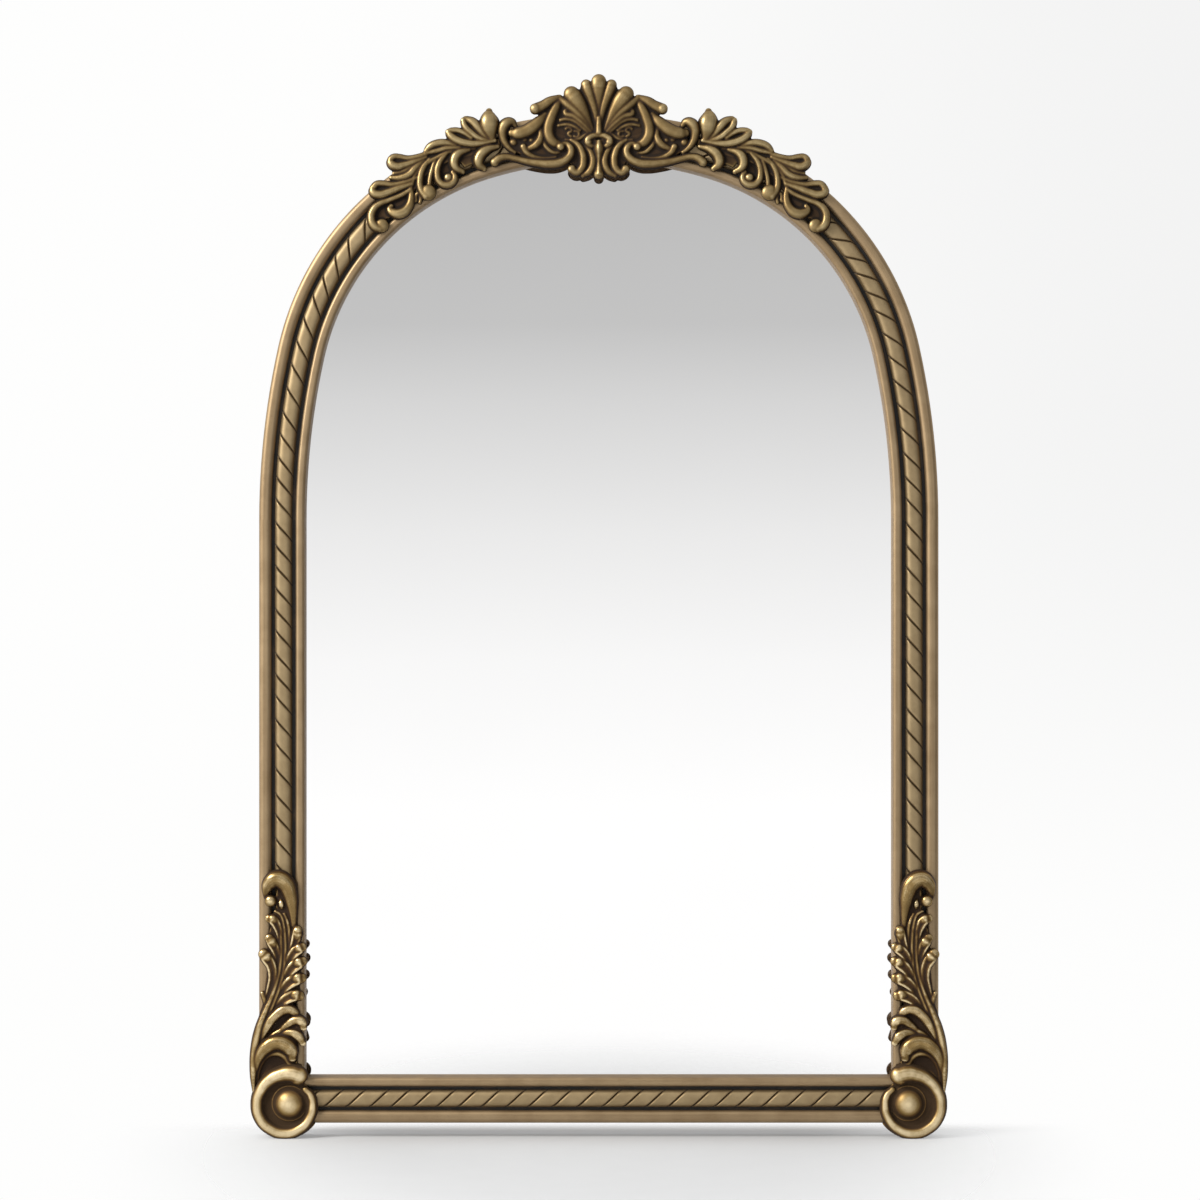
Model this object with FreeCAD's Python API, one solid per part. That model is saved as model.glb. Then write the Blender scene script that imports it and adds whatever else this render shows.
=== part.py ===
import FreeCAD, Part
import math
import os

# Arched wall mirror: moulded frame with a twisted ribbon strip, applied carved
# ornaments, silvered glass, and two swinging D-rings on the back.
# Millimetres, +Z up, the front faces -Y, the floor is at z = 0.

Vec = FreeCAD.Vector

# Driving dimensions of the opening
sight_half_width = 257.7
sight_height = 804.4

# The head is a five-centred arch, so its radii are shares of the half span
crown_radius_share = 1.258
shoulder_radius_share = 0.831
haunch_radius_share = 2.564
crown_angle_deg = 17.43

# Face of the moulding, from the sight edge outwards
inner_bead_width = 7.9
inner_groove_width = 4.2
rope_width = 13.3
outer_groove_width = 3.6
outer_bead_width = 11.0
inner_bead_round = 2.6
outer_bead_round = 4.0

# Depths of the moulding, counted forwards from the back of the frame
frame_depth = 24.0
channel_depth = 6.0
glass_seat_depth = 11.0
glass_rebate_width = 9.0
board_rebate_width = 20.0

# Glass, card sheet and backing board
glass_thickness = 4.0
card_thickness = 4.0
glass_clearance = 1.5
board_clearance = 0.5

# Ribbon-twist strip in the channel
rope_wall = 1.8
rope_flat_share = 0.46
rope_clearance = 0.4
rope_pitch = 19.8
rope_cut_width = 1.2
rope_cut_depth = 2.6

# Relief of the applied ornaments above the beads
relief_plinth = 3.0
relief_rise_share = 0.55
field_rise = 2.8
ornament_clearance = 0.3
boss_rise = 10.5
ring_rise = 4.6
dish_rise = 2.6

# Pegs, pins and screws
dowel_radius = 3.0
dowel_length = 26.0
pin_radius = 0.9
pin_length = 9.0
pin_bite = 3.2
peg_clearance = 0.05
screw_radius = 1.4
screw_length = 12.0
screw_head_radius = 3.2
screw_head_height = 1.8
screw_hole_clearance = 0.2
screw_line = 14.5

# D-ring hangers
strap_width = 10.0
strap_length = 15.0
strap_thickness = 1.0
strap_screw_drop = 9.0
hanger_line = 30.0
hanger_drop = 36.0
ring_wire_radius = 1.4
ring_inner_half_width = 7.0
ring_drop = 26.0
ring_corner_radius = 3.0
knuckle_clearance = 0.05

# Soft discs behind the lower corners
bumper_radius = 6.0
bumper_height = 5.0
bumper_round = 1.2
bumper_line = 30.0
bumper_rise = 26.0

# One overrun serves all cuts
overrun = 5.0

# How many sides a carved stroke has, and how many bands a turned ball or boss has
stroke_sides = 6
ball_bands = 2
boss_bands = 5

# One pixel of the photograph, and the sight corner's height, as shares of the face width
pixel_share = 0.0218818
foot_drop_share = 1.31729

# Where the board screws stand, as shares of the stile, the arch and the rail
stile_screw_shares = (0.14, 0.5, 0.86)
arch_screw_shares = (0.2, 0.5, 0.8)
rail_screw_shares = (-0.6, 0.0, 0.6)

# Worked-out sizes
face_width = inner_bead_width + inner_groove_width + rope_width
face_width = face_width + outer_groove_width + outer_bead_width
ornament_scale = face_width * pixel_share
sill_z = face_width * foot_drop_share
rail_bottom_z = sill_z - face_width
crown_z = sill_z + sight_height
crown_angle = math.radians(crown_angle_deg)
channel_floor = frame_depth - channel_depth
rope_start = inner_bead_width + inner_groove_width
rope_line = rope_start + rope_width / 2
rope_rise = channel_depth - rope_clearance
board_thickness = glass_seat_depth - glass_thickness - card_thickness
knuckle_bore = ring_wire_radius + knuckle_clearance
knuckle_radius = knuckle_bore + strap_thickness
rear_reach = max(2 * knuckle_radius, bumper_height)

# Where the photograph shows the crown of the sight edge and its lower left corner
photo_crown_px = (599.0, 157.7)
photo_corner_px = (304.5, 1077.8)

# Ornament strokes of the left side: pixel x, pixel y and pixel width of each station
shell_flutes_px = (
    ((586, 83, 9), (589, 93, 8.5), (593.5, 107, 6), (597.5, 123, 3)),
    ((571.5, 91, 14), (577.5, 101, 13), (585.5, 115, 8.5), (594, 131, 3)),
    ((563, 101, 7), (572, 108, 7.5), (581, 117, 6.5), (592, 129.5, 3)),
    ((562, 113, 6), (573, 117, 6), (582, 122, 5.5), (592, 131, 3)),
    ((557, 122, 4.5), (568, 122.5, 5), (578, 126, 4.5), (590, 132.5, 3)),
)
shell_axis_px = (
    ((599, 77, 11), (599, 82, 15), (599, 94, 9), (599, 107, 5), (599, 132, 5)),
    ((599, 129, 6), (599, 146, 7), (599, 154, 6), (599, 161, 5), (599, 169, 8), (599, 175, 8)),
)
shell_scrolls_px = (
    ((599, 133.5, 6), (592, 136.5, 6), (588, 139.5, 7), (594, 143, 6)),
    ((586, 145.7, 5), (592.8, 153.4, 6), (593.3, 161, 6), (590, 168.7, 6), (583.6, 174, 5)),
    ((569, 137, 4), (578.5, 145.7, 5), (583.6, 156, 6), (583, 163.6, 6), (579, 169, 6),
     (571.8, 168, 6)),
    ((562, 97.5, 5), (551, 100.5, 7), (543, 105, 8.5), (536.5, 108.5, 9.5)),
    ((559, 97.5, 5), (554, 108, 6.5), (549, 118, 7), (546, 128, 7), (547, 137, 7),
     (552, 142.5, 6), (559, 144.5, 4.5)),
    ((562.7, 148.5, 3), (567, 145, 5), (571, 148.5, 6), (570, 154.5, 7), (564, 159.5, 7.5),
     (553, 162.5, 7.5), (540, 163, 7), (526, 160.8, 6), (511, 156.8, 5.5), (503, 156, 6),
     (496, 159.5, 6.5)),
    ((547, 117, 5), (541, 120.5, 7), (531, 128, 9), (521, 132.5, 9.5), (512.5, 132.5, 8)),
    ((516, 121.5, 5), (510, 120.5, 7), (505, 124.5, 8), (503.5, 131, 8), (505.5, 139, 7),
     (511, 147, 6), (521, 155, 4)),
    ((546, 126, 4), (540.5, 136.8, 4.5), (535.3, 144, 5), (528.7, 147.5, 5.5)),
    ((523, 146, 6), (527.7, 151.6, 5), (535, 156.3, 4.5), (548, 159.5, 4)),
)
shell_field_px = (
    ((566, 143, 14), (548, 144, 27), (528, 143.5, 22), (512, 141, 14)),
)
shell_plates_px = ((579, 121, 22), (590, 152, 14))
shell_balls_px = ((571.8, 92, 7.5), (586, 84.5, 5), (536.5, 108.5, 5.2), (494.5, 160.5, 3.8))
shell_axis_balls_px = ((599, 81, 7.6), (599, 174, 4.8))

spray_leaves_px = (
    ((489.5, 111, 6), (489.5, 117, 14), (490, 123, 17), (491.5, 131, 13), (494, 143, 6)),
    ((464, 119.5, 5), (468, 123, 12), (475, 130, 13), (484, 136.5, 9), (494, 143, 5)),
    ((447, 131.5, 5), (455, 136, 10), (466, 141, 9), (479, 143.5, 7), (494, 145, 4)),
    ((425, 152, 4), (430, 146, 10), (440, 143, 11), (452, 145.5, 8), (463, 149, 5)),
    ((395, 162, 12), (401, 162, 11), (411, 159.5, 7), (425, 156.5, 6), (438, 155.5, 4)),
    ((391, 178, 4), (400, 176, 7), (410, 172, 8), (423, 165, 5)),
    ((375.5, 189, 11), (384, 187, 9), (398, 184, 8), (411, 179, 7), (420, 171, 4)),
)
spray_loops_px = (
    ((411, 189, 4), (396, 196, 5), (381, 203.5, 6), (372.8, 211, 7), (371.5, 219, 7),
     (375, 225, 8), (381, 226, 9)),
    ((411, 186, 4), (410, 200, 6), (406, 208.5, 7.5), (399.5, 213.5, 8), (393, 212.5, 7),
     (390.5, 208, 5)),
    ((427, 163, 4), (421.5, 175.5, 5), (421, 185.5, 5.5), (424, 193, 7)),
    ((448, 152, 4), (440, 159, 5), (437.3, 168.7, 5.5), (439.5, 178.5, 6), (444.5, 183.5, 6),
     (451, 183, 6), (453.5, 177, 5)),
    ((466, 147, 4), (456.5, 154, 6), (453.3, 161, 6.5), (456, 167.5, 6), (462.5, 171.2, 5)),
    ((495, 145.5, 4), (484.3, 150, 6.5), (478.7, 156.2, 7), (477.8, 163, 7), (481.7, 167.5, 5)),
)
spray_field_px = (
    ((497, 145, 8), (486, 145, 9), (470, 148, 10), (452, 153, 11), (434, 161, 12),
     (420, 173, 12), (411, 187, 9)),
)
spray_balls_px = ((395.2, 161.7, 7), (375.5, 189, 6.4), (381.8, 225.3, 7), (429, 193, 7.4),
                  (448, 177.3, 4.4))

leaf_ribs_px = (
    ((254.5, 1066, 6), (256, 1045, 6), (260, 1022, 6), (268, 1005, 5.5), (275.5, 986, 5),
     (281, 962, 5), (282.8, 940, 5), (280, 914, 4)),
    ((262, 1040, 4.5), (270, 1015, 5), (279, 990, 5), (285.8, 968, 5), (288.5, 945, 5),
     (287, 925, 4.5), (284, 906, 4)),
    ((267, 894, 6), (268.5, 884, 9), (276, 877.5, 11), (286, 881, 12), (292, 893, 10),
     (294.3, 908, 7), (293, 928, 4)),
)
leaf_lobes_px = (
    ((267, 917, 6), (275, 921, 8), (281, 930, 7), (283, 942, 4)),
    ((267, 938, 8), (274, 946, 8), (280, 960, 4.5)),
    ((263, 955, 9), (268, 963, 9), (270, 975, 8), (268, 992, 5)),
    ((297.5, 931, 8), (294, 942, 7), (288, 957, 4)),
    ((302, 949, 8), (296, 954, 8), (287, 967, 4)),
    ((302.5, 962, 9), (296, 968, 9), (285, 982, 4.5)),
    ((300.5, 979, 9), (292, 986, 9), (279, 1000, 4.5)),
    ((298.6, 996, 10), (288, 1001, 8), (274, 1012, 5)),
    ((297, 1013.5, 7), (289.5, 1009, 8), (281, 1010.5, 8), (271, 1021, 7), (261, 1037, 6)),
    ((283, 1030, 5), (293, 1021.5, 6), (301, 1018.5, 7), (305, 1025.5, 6)),
    ((274, 1034, 5), (291, 1031.5, 6), (299, 1036, 6), (304.5, 1044, 5)),
    ((257, 1057, 6), (265, 1044.5, 10), (275.6, 1039, 13), (286, 1042, 13), (292, 1049.5, 11),
     (292, 1057, 8)),
)
leaf_field_px = (
    ((281, 899, 12), (283, 930, 18), (284, 955, 22), (281, 980, 26), (274, 1005, 26),
     (268, 1030, 24), (262, 1058, 16)),
)
leaf_balls_px = ((270.5, 901, 6.2), (262.8, 955, 5.4), (298, 930.5, 4.4))

volute_band_px = (
    ((300, 1075.8, 15), (286, 1073.6, 15.5), (270.5, 1078.8, 13.5), (260.3, 1090.6, 12.2),
     (257.3, 1103.5, 11.7), (260.5, 1117, 11.7), (270.5, 1128.3, 11.3), (285.8, 1133, 11.4),
     (301, 1128.3, 10), (310.5, 1117, 9), (313.4, 1105.4, 8), (311.3, 1094.5, 6.5),
     (305, 1089, 5)),
)
volute_balls_px = ((298, 1076, 9.6),)
volute_boss_px = (289.9, 1103.3, 15.5)
volute_ring_px = (289.9, 1103.3, 18.6)
volute_dish_px = (287.4, 1103.0, 29.0)
volute_guard_px = (287.0, 1102.5, 38.6)
volute_return_px = (286.0, 1102.4, 36.2)

# Pins that locate the ornaments, by pixel place above a bead
shell_pins_px = ((599.0, 117.0), (599.0, 150.0))
spray_pins_px = ((491.5, 132.3), (383.5, 187.0))
leaf_pins_px = ((264.6, 1012.0), (265.0, 957.5))
volute_pins_px = ((264.6, 1086.0), (300.0, 1080.5))

os.makedirs("parts", exist_ok=True)

# The rings and discs behind the back are balanced against the relief in front
tallest_stroke = 2 * volute_balls_px[0][2] * ornament_scale
front_reach = frame_depth + relief_plinth + tallest_stroke * relief_rise_share
back_y = (front_reach - rear_reach) / 2


def at(x, depth, z):
    """A point given by its depth in front of the frame's back."""
    return Vec(x, back_y - depth, z)


def mirrored(shape):
    """The same piece on the other side of the middle line."""
    return shape.mirror(Vec(0, 0, 0), Vec(1, 0, 0))


def save(name, shape):
    """Write one node and print what it holds."""
    shape.exportStep("parts/" + name + ".step")
    print(name, len(shape.Solids), "solids", round(shape.Volume), "mm3", shape.isValid())


def peg(start, direction, radius, length):
    """A round peg from a point along a direction."""
    return Part.makeCylinder(radius, length, start, direction)


def five_centred(half_span, crown):
    """Arcs of the right half of the head: centre x, centre height, radius, two angles."""
    crown_radius = half_span * crown_radius_share
    shoulder_radius = half_span * shoulder_radius_share
    haunch_radius = half_span * haunch_radius_share
    in_step = crown_radius - shoulder_radius
    out_step = shoulder_radius - haunch_radius
    shoulder_x = in_step * math.sin(crown_angle)
    shoulder_z = crown - crown_radius + in_step * math.cos(crown_angle)
    haunch_angle = math.asin((half_span - haunch_radius - shoulder_x) / out_step)
    haunch_x = shoulder_x + out_step * math.sin(haunch_angle)
    haunch_z = shoulder_z + out_step * math.cos(haunch_angle)
    return ((0.0, crown - crown_radius, crown_radius, 0.0, crown_angle),
            (shoulder_x, shoulder_z, shoulder_radius, crown_angle, haunch_angle),
            (haunch_x, haunch_z, haunch_radius, haunch_angle, math.pi / 2))


# The head of the model, and of the photograph in pixels below its crown
arch_arcs = five_centred(sight_half_width, crown_z)
photo_arcs = five_centred(photo_crown_px[0] - photo_corner_px[0], 0.0)
spring_z = arch_arcs[-1][1]
stile_length = spring_z - sill_z


def arch_point(arc, angle, offset):
    """A point on the left half of one arc, outside the sight edge by an offset."""
    centre_x, centre_z, radius = arc[:3]
    reach = radius + offset
    return -centre_x - reach * math.sin(angle), centre_z + reach * math.cos(angle)


def arch_station(offset, share):
    """The point and clockwise direction at a share of the left arch, from spring to crown."""
    lengths = [(arc[2] + offset) * (arc[4] - arc[3]) for arc in arch_arcs]
    rest = share * sum(lengths)
    for arc, length in zip(reversed(arch_arcs), reversed(lengths)):
        if rest <= length or arc is arch_arcs[0]:
            angle = arc[4] - rest / (arc[2] + offset)
            return arch_point(arc, angle, offset), (math.cos(angle), math.sin(angle))
        rest = rest - length


def outline(offset):
    """The closed sight outline, grown outwards by an offset."""
    half = sight_half_width + offset
    bottom = sill_z - offset
    edges = [Part.LineSegment(at(-half, 0, bottom), at(-half, 0, spring_z)).toShape()]
    for side in (1, -1):
        arcs = arch_arcs[::-1] if side == 1 else arch_arcs
        for arc in arcs:
            turns = (arc[4], (arc[3] + arc[4]) / 2, arc[3])
            spots = [arch_point(arc, turn, offset) for turn in turns[::side]]
            ends = [at(side * x, 0, z) for x, z in spots]
            edges.append(Part.Arc(*ends).toShape())
    edges.append(Part.LineSegment(at(half, 0, spring_z), at(half, 0, bottom)).toShape())
    edges.append(Part.LineSegment(at(half, 0, bottom), at(-half, 0, bottom)).toShape())
    return Part.Wire(edges)


def sheet(offset, depth, thickness):
    """A flat pane of the sight outline between two depths."""
    face = Part.Face(outline(offset))
    face.translate(Vec(0, -depth, 0))
    return face.extrude(Vec(0, -thickness, 0))


def profile_face(steps, put):
    """A closed section from line steps (point) and round steps (middle, end)."""
    edges = []
    here = steps[0][-1]
    for step in steps[1:] + steps[:1]:
        end = step[-1]
        if len(step) == 2:
            edges.append(Part.Arc(put(*here), put(*step[0]), put(*end)).toShape())
        else:
            edges.append(Part.LineSegment(put(*here), put(*end)).toShape())
        here = end
    return Part.Face(Part.Wire(edges))


def shoulder(start, end, radius, rising):
    """The round step over one shoulder of a bead."""
    lean = radius * (1 - math.sqrt(0.5))
    if rising:
        return (start[0] + lean, end[1] - lean), end
    return (end[0] - lean, start[1] - lean), end


def bead_steps(start, end, base, rounding):
    """A bead with round shoulders between two offsets, standing on a base depth."""
    low = frame_depth - rounding
    rise = shoulder((start, low), (start + rounding, frame_depth), rounding, True)
    fall = shoulder((end - rounding, frame_depth), (end, low), rounding, False)
    return [((start, base),), ((start, low),), rise, ((end - rounding, frame_depth),), fall]


def moulding_steps():
    """The section of the frame: two beads, the channel and the stepped rebate."""
    outer = face_width - outer_bead_width
    steps = bead_steps(0, inner_bead_width, glass_seat_depth, inner_bead_round)
    steps = steps + [((inner_bead_width, channel_floor),)]
    steps = steps + bead_steps(outer, face_width, channel_floor, outer_bead_round)
    steps = steps + [((face_width, 0),), ((board_rebate_width, 0),)]
    steps = steps + [((board_rebate_width, board_thickness),)]
    steps = steps + [((glass_rebate_width, board_thickness),)]
    return steps + [((glass_rebate_width, glass_seat_depth),)]


def rope_steps():
    """The section of the ribbon strip: low walls under a back of three flats."""
    wall = channel_floor + rope_wall
    crown = channel_floor + rope_rise
    end = rope_start + rope_width
    flat = rope_width * rope_flat_share / 2
    return [((rope_start, channel_floor),), ((rope_start, wall),), ((rope_line - flat, crown),),
            ((rope_line + flat, crown),), ((end, wall),), ((end, channel_floor),)]


def side_length(steps):
    """The left straight side, mitred at its foot."""
    face = profile_face(steps, lambda u, depth: at(-sight_half_width - u, depth, rail_bottom_z))
    return face.extrude(Vec(0, 0, spring_z - rail_bottom_z)).cut(mitre(True))


def rail_length(steps):
    """The bottom length, mitred at both ends."""
    end = sight_half_width + face_width
    face = profile_face(steps, lambda u, depth: at(-end, depth, sill_z - u))
    bar = face.extrude(Vec(2 * end, 0, 0))
    return bar.cut([mitre(False), mirrored(mitre(False))])


def arch_length(steps):
    """The left half of the arch: one section turned about each centre."""
    lengths = []
    for arc in arch_arcs:
        face = profile_face(steps, lambda u, depth: arch_section(arc, u, depth))
        centre = at(-arc[0], 0, arc[1])
        lengths.append(face.revolve(centre, Vec(0, 1, 0), math.degrees(arc[4] - arc[3])))
    return lengths[0].fuse(lengths[1:])


def arch_section(arc, offset, depth):
    """A section point at the lower end of one arc."""
    x, z = arch_point(arc, arc[4], offset)
    return at(x, depth, z)


def mitre(below):
    """The wedge to take away on one side of the left corner's mitre."""
    x, z = -sight_half_width, sill_z
    far = face_width + overrun
    corner = (x + overrun, z - far) if below else (x - far, z + overrun)
    spots = ((x + overrun, z + overrun), (x - far, z - far), corner)
    points = [at(px, -overrun, pz) for px, pz in spots]
    wedge = Part.Face(Part.makePolygon(points + points[:1]))
    return wedge.extrude(Vec(0, -frame_depth - 2 * overrun, 0))


def rope_cut(point, direction):
    """One slanting cut across the strip, leaning outwards along the clockwise way round."""
    length = 2 * rope_width
    slant_x = direction[0] - direction[1]
    slant_z = direction[1] + direction[0]
    bar = Part.makeBox(length, rope_cut_depth + overrun, rope_cut_width)
    bar.translate(Vec(-length / 2, -rope_cut_depth - overrun, -rope_cut_width / 2))
    bar.rotate(Vec(0, 0, 0), Vec(0, 1, 0), math.degrees(math.atan2(-slant_z, slant_x)))
    bar.translate(at(point[0], channel_floor + rope_rise - rope_cut_depth, point[1]))
    return bar


def spread(length):
    """Even shares along a length, one per pitch of the ribbon."""
    count = max(1, round(length / rope_pitch))
    return [(step + 0.5) / count for step in range(count)]


def straight_cuts(side):
    """Cuts of one stile's strip, with the clockwise way round on that side."""
    bottom = rail_bottom_z + face_width - rope_line
    x = -side * (sight_half_width + rope_line)
    length = spring_z - bottom
    return [rope_cut((x, bottom + share * length), (0, side)) for share in spread(length)]


def arch_cuts(side):
    """Cuts of one arch half's strip."""
    length = sum((arc[2] + rope_line) * (arc[4] - arc[3]) for arc in arch_arcs)
    cuts = []
    for share in spread(length):
        (x, z), (run, climb) = arch_station(rope_line, share)
        cuts.append(rope_cut((side * x, z), (run, side * climb)))
    return cuts


def rail_cuts():
    """Cuts of the bottom strip."""
    half = sight_half_width + rope_line
    shares = spread(2 * half)
    return [rope_cut((half - 2 * half * share, sill_z - rope_line), (-1, 0)) for share in shares]


def corner_place(x_px, y_px):
    """A photograph pixel carried to the model, measured from the left sight corner."""
    x = -sight_half_width + (x_px - photo_corner_px[0]) * ornament_scale
    return x, sill_z + (photo_corner_px[1] - y_px) * ornament_scale


def arch_place(x_px, y_px):
    """A photograph pixel carried to the arch, its length from the crown and its offset kept."""
    along = 0
    for arc in photo_arcs:
        left = photo_crown_px[0] - x_px - arc[0]
        up = photo_crown_px[1] - y_px - arc[1]
        turn = math.atan2(left, up)
        if turn <= arc[4]:
            along = along + arc[2] * (turn - arc[3])
            out = math.hypot(left, up) - arc[2]
            return arch_spot(along * ornament_scale, out * ornament_scale)
        along = along + arc[2] * (arc[4] - arc[3])


def arch_spot(along, offset):
    """A point of the left half of the arch, a length from the crown along the sight edge."""
    for arc in arch_arcs:
        length = arc[2] * (arc[4] - arc[3])
        if along <= length or arc is arch_arcs[-1]:
            return arch_point(arc, arc[3] + along / arc[2], offset)
        along = along - length


def stroke(stations, place, low):
    """A leaf stroke: oval sections lofted along its middle line, whole about the seat."""
    spots = [place(x, y) for x, y, width in stations]
    sections = []
    for index, (x, z) in enumerate(spots):
        before = spots[max(index - 1, 0)]
        after = spots[min(index + 1, len(spots) - 1)]
        run = math.hypot(after[0] - before[0], after[1] - before[1])
        across = (-(after[1] - before[1]) / run, (after[0] - before[0]) / run)
        half = stations[index][2] * ornament_scale / 2
        rise = field_rise if low else relief_plinth + 2 * half * relief_rise_share
        sections.append(oval(x, z, across, half, rise))
    return Part.makeLoft(sections, True, True)


def oval(x, z, across, half, rise):
    """A six-sided carved section standing across a stroke."""
    points = []
    for step in range(stroke_sides):
        turn = 2 * math.pi * step / stroke_sides
        aside = half * math.cos(turn)
        points.append(at(x + across[0] * aside, frame_depth + rise * math.sin(turn),
                         z + across[1] * aside))
    return Part.makePolygon(points + points[:1])


def dome(spot, place, rise, bands):
    """A turned dome, whole about the seat: a half oval spun about its own axis."""
    x, z = place(spot[0], spot[1])
    radius = spot[2] * ornament_scale
    points = [at(x, frame_depth - rise, z)]
    for step in range(1 - bands, bands):
        turn = math.pi / 2 * step / bands
        points.append(at(x + radius * math.cos(turn), frame_depth + rise * math.sin(turn), z))
    points.append(at(x, frame_depth + rise, z))
    face = Part.Face(Part.makePolygon(points + points[:1]))
    return face.revolve(points[0], Vec(0, 1, 0), 360)


def back_plate(spot, place):
    """A low round plate that backs a group of strokes."""
    x, z = place(spot[0], spot[1])
    start = at(x, frame_depth - field_rise, z)
    return peg(start, Vec(0, -1, 0), spot[2] * ornament_scale, 2 * field_rise)


def ball(spot, place):
    """The round end of a stroke, risen as a stroke of its width is."""
    rise = relief_plinth + 2 * spot[2] * ornament_scale * relief_rise_share
    return dome(spot, place, rise, ball_bands)


def seat_cut(shape):
    """Only what stands in front of the beads' tops."""
    box = shape.BoundBox
    block = Part.makeBox(box.XLength + 2 * overrun, box.YLength, box.ZLength + 2 * overrun)
    block.translate(Vec(box.XMin - overrun, back_y - frame_depth, box.ZMin - overrun))
    return shape.cut(block)


def ornament(strokes, fields, balls, plates, place):
    """Strokes, low fields, plates and balls that grow together into one casting."""
    solids = [stroke(row, place, True) for row in fields]
    solids = solids + [stroke(row, place, False) for row in strokes]
    solids = solids + [ball(row, place) for row in balls]
    return solids + [back_plate(row, place) for row in plates]


def casting(solids):
    """One solid from overlapping forms, flat on its seat."""
    return seat_cut(solids[0].multiFuse(solids[1:]))


def pins(spots, place):
    """Pins through a bead into an ornament."""
    starts = [place(x, y) for x, y in spots]
    low = frame_depth + pin_bite - pin_length
    return [(at(x, low, z), Vec(0, -1, 0)) for x, z in starts]


def drill(shape, holes, radius, length):
    """Round holes for pegs, with a clearance."""
    return shape.cut([peg(start, way, radius + peg_clearance, length) for start, way in holes])


def flip(holes):
    """Peg places on the other side of the middle line."""
    return [(Vec(-start.x, start.y, start.z), Vec(-way.x, way.y, way.z)) for start, way in holes]


# Peg places in the five frame joints
dowel_line = (board_rebate_width + face_width) / 2 - dowel_radius
dowel_depth = channel_floor / 2
half_dowel = dowel_length / 2
lean = math.sqrt(0.5)
corner_x = -sight_half_width - dowel_line
corner_z = sill_z - dowel_line
spring_dowel = (at(corner_x, dowel_depth, spring_z - half_dowel), Vec(0, 0, 1))
mitre_dowel = (at(corner_x + half_dowel * lean, dowel_depth, corner_z - half_dowel * lean),
               Vec(-lean, 0, lean))
crown_dowel = (at(-half_dowel, dowel_depth, crown_z + dowel_line), Vec(1, 0, 0))
left_dowels = [spring_dowel, mitre_dowel]
dowels = left_dowels + flip(left_dowels) + [crown_dowel]

# Board screw places: stiles, arch and rail
screw_spots = []
for share in stile_screw_shares:
    screw_spots.append((-sight_half_width - screw_line, sill_z + share * stile_length))
for share in arch_screw_shares:
    screw_spots.append(arch_station(screw_line, share)[0])
screw_spots = screw_spots + [(-x, z) for x, z in screw_spots]
for share in rail_screw_shares:
    screw_spots.append((share * sight_half_width, sill_z - screw_line))
board_holes = [(at(x, 0, z), Vec(0, -1, 0)) for x, z in screw_spots]

# Hanger places
hanger_x = -sight_half_width - hanger_line
hanger_z = spring_z - hanger_drop
hanger_screw_z = hanger_z - strap_screw_drop
hanger_holes = [(at(hanger_x, 0, hanger_screw_z), Vec(0, -1, 0))]

# Ornament pins
corner_pins = pins(leaf_pins_px + volute_pins_px, corner_place)
arch_pins = pins(spray_pins_px, arch_place)
crest_pins = pins(shell_pins_px, arch_place)
left_pins = corner_pins + arch_pins
all_pins = left_pins + flip(left_pins) + crest_pins


def frame_length(shape, side):
    """A moulding length with the holes that its screws, pegs and pins need."""
    turned = side < 0
    screws = hanger_holes if not turned else flip(hanger_holes)
    shape = drill(shape, board_holes + screws, screw_radius, screw_length)
    shape = drill(shape, dowels, dowel_radius, dowel_length)
    return drill(shape, all_pins, pin_radius, pin_length)


# Frame lengths
stile = side_length(moulding_steps())
arch = arch_length(moulding_steps())
rail = rail_length(moulding_steps())
save("left_stile", frame_length(stile, 1))
save("right_stile", frame_length(mirrored(stile), -1))
save("left_arch", frame_length(arch, 1))
save("right_arch", frame_length(mirrored(arch), -1))
save("bottom_rail", frame_length(rail, 1))

# Ribbon strips
rope_side = side_length(rope_steps())
rope_arch = arch_length(rope_steps())
rope_rail = rail_length(rope_steps())
save("rope_left_stile", rope_side.cut(straight_cuts(1)))
save("rope_right_stile", mirrored(rope_side).cut(straight_cuts(-1)))
save("rope_left_arch", rope_arch.cut(arch_cuts(1)))
save("rope_right_arch", mirrored(rope_arch).cut(arch_cuts(-1)))
save("rope_bottom", rope_rail.cut(rail_cuts()))

# Shell crest
half_shell = ornament(shell_flutes_px + shell_scrolls_px, shell_field_px, shell_balls_px,
                      shell_plates_px, arch_place)
axis_shell = ornament(shell_axis_px, (), shell_axis_balls_px, (), arch_place)
crest = casting(half_shell + [mirrored(form) for form in half_shell] + axis_shell)
save("crest_shell", drill(crest, crest_pins, pin_radius, pin_length))

# Leaf sprays
spray = casting(ornament(spray_leaves_px + spray_loops_px, spray_field_px, spray_balls_px,
                         (), arch_place))
spray = drill(spray, arch_pins, pin_radius, pin_length)
save("crest_spray_left", spray)
save("crest_spray_right", mirrored(spray))

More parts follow.
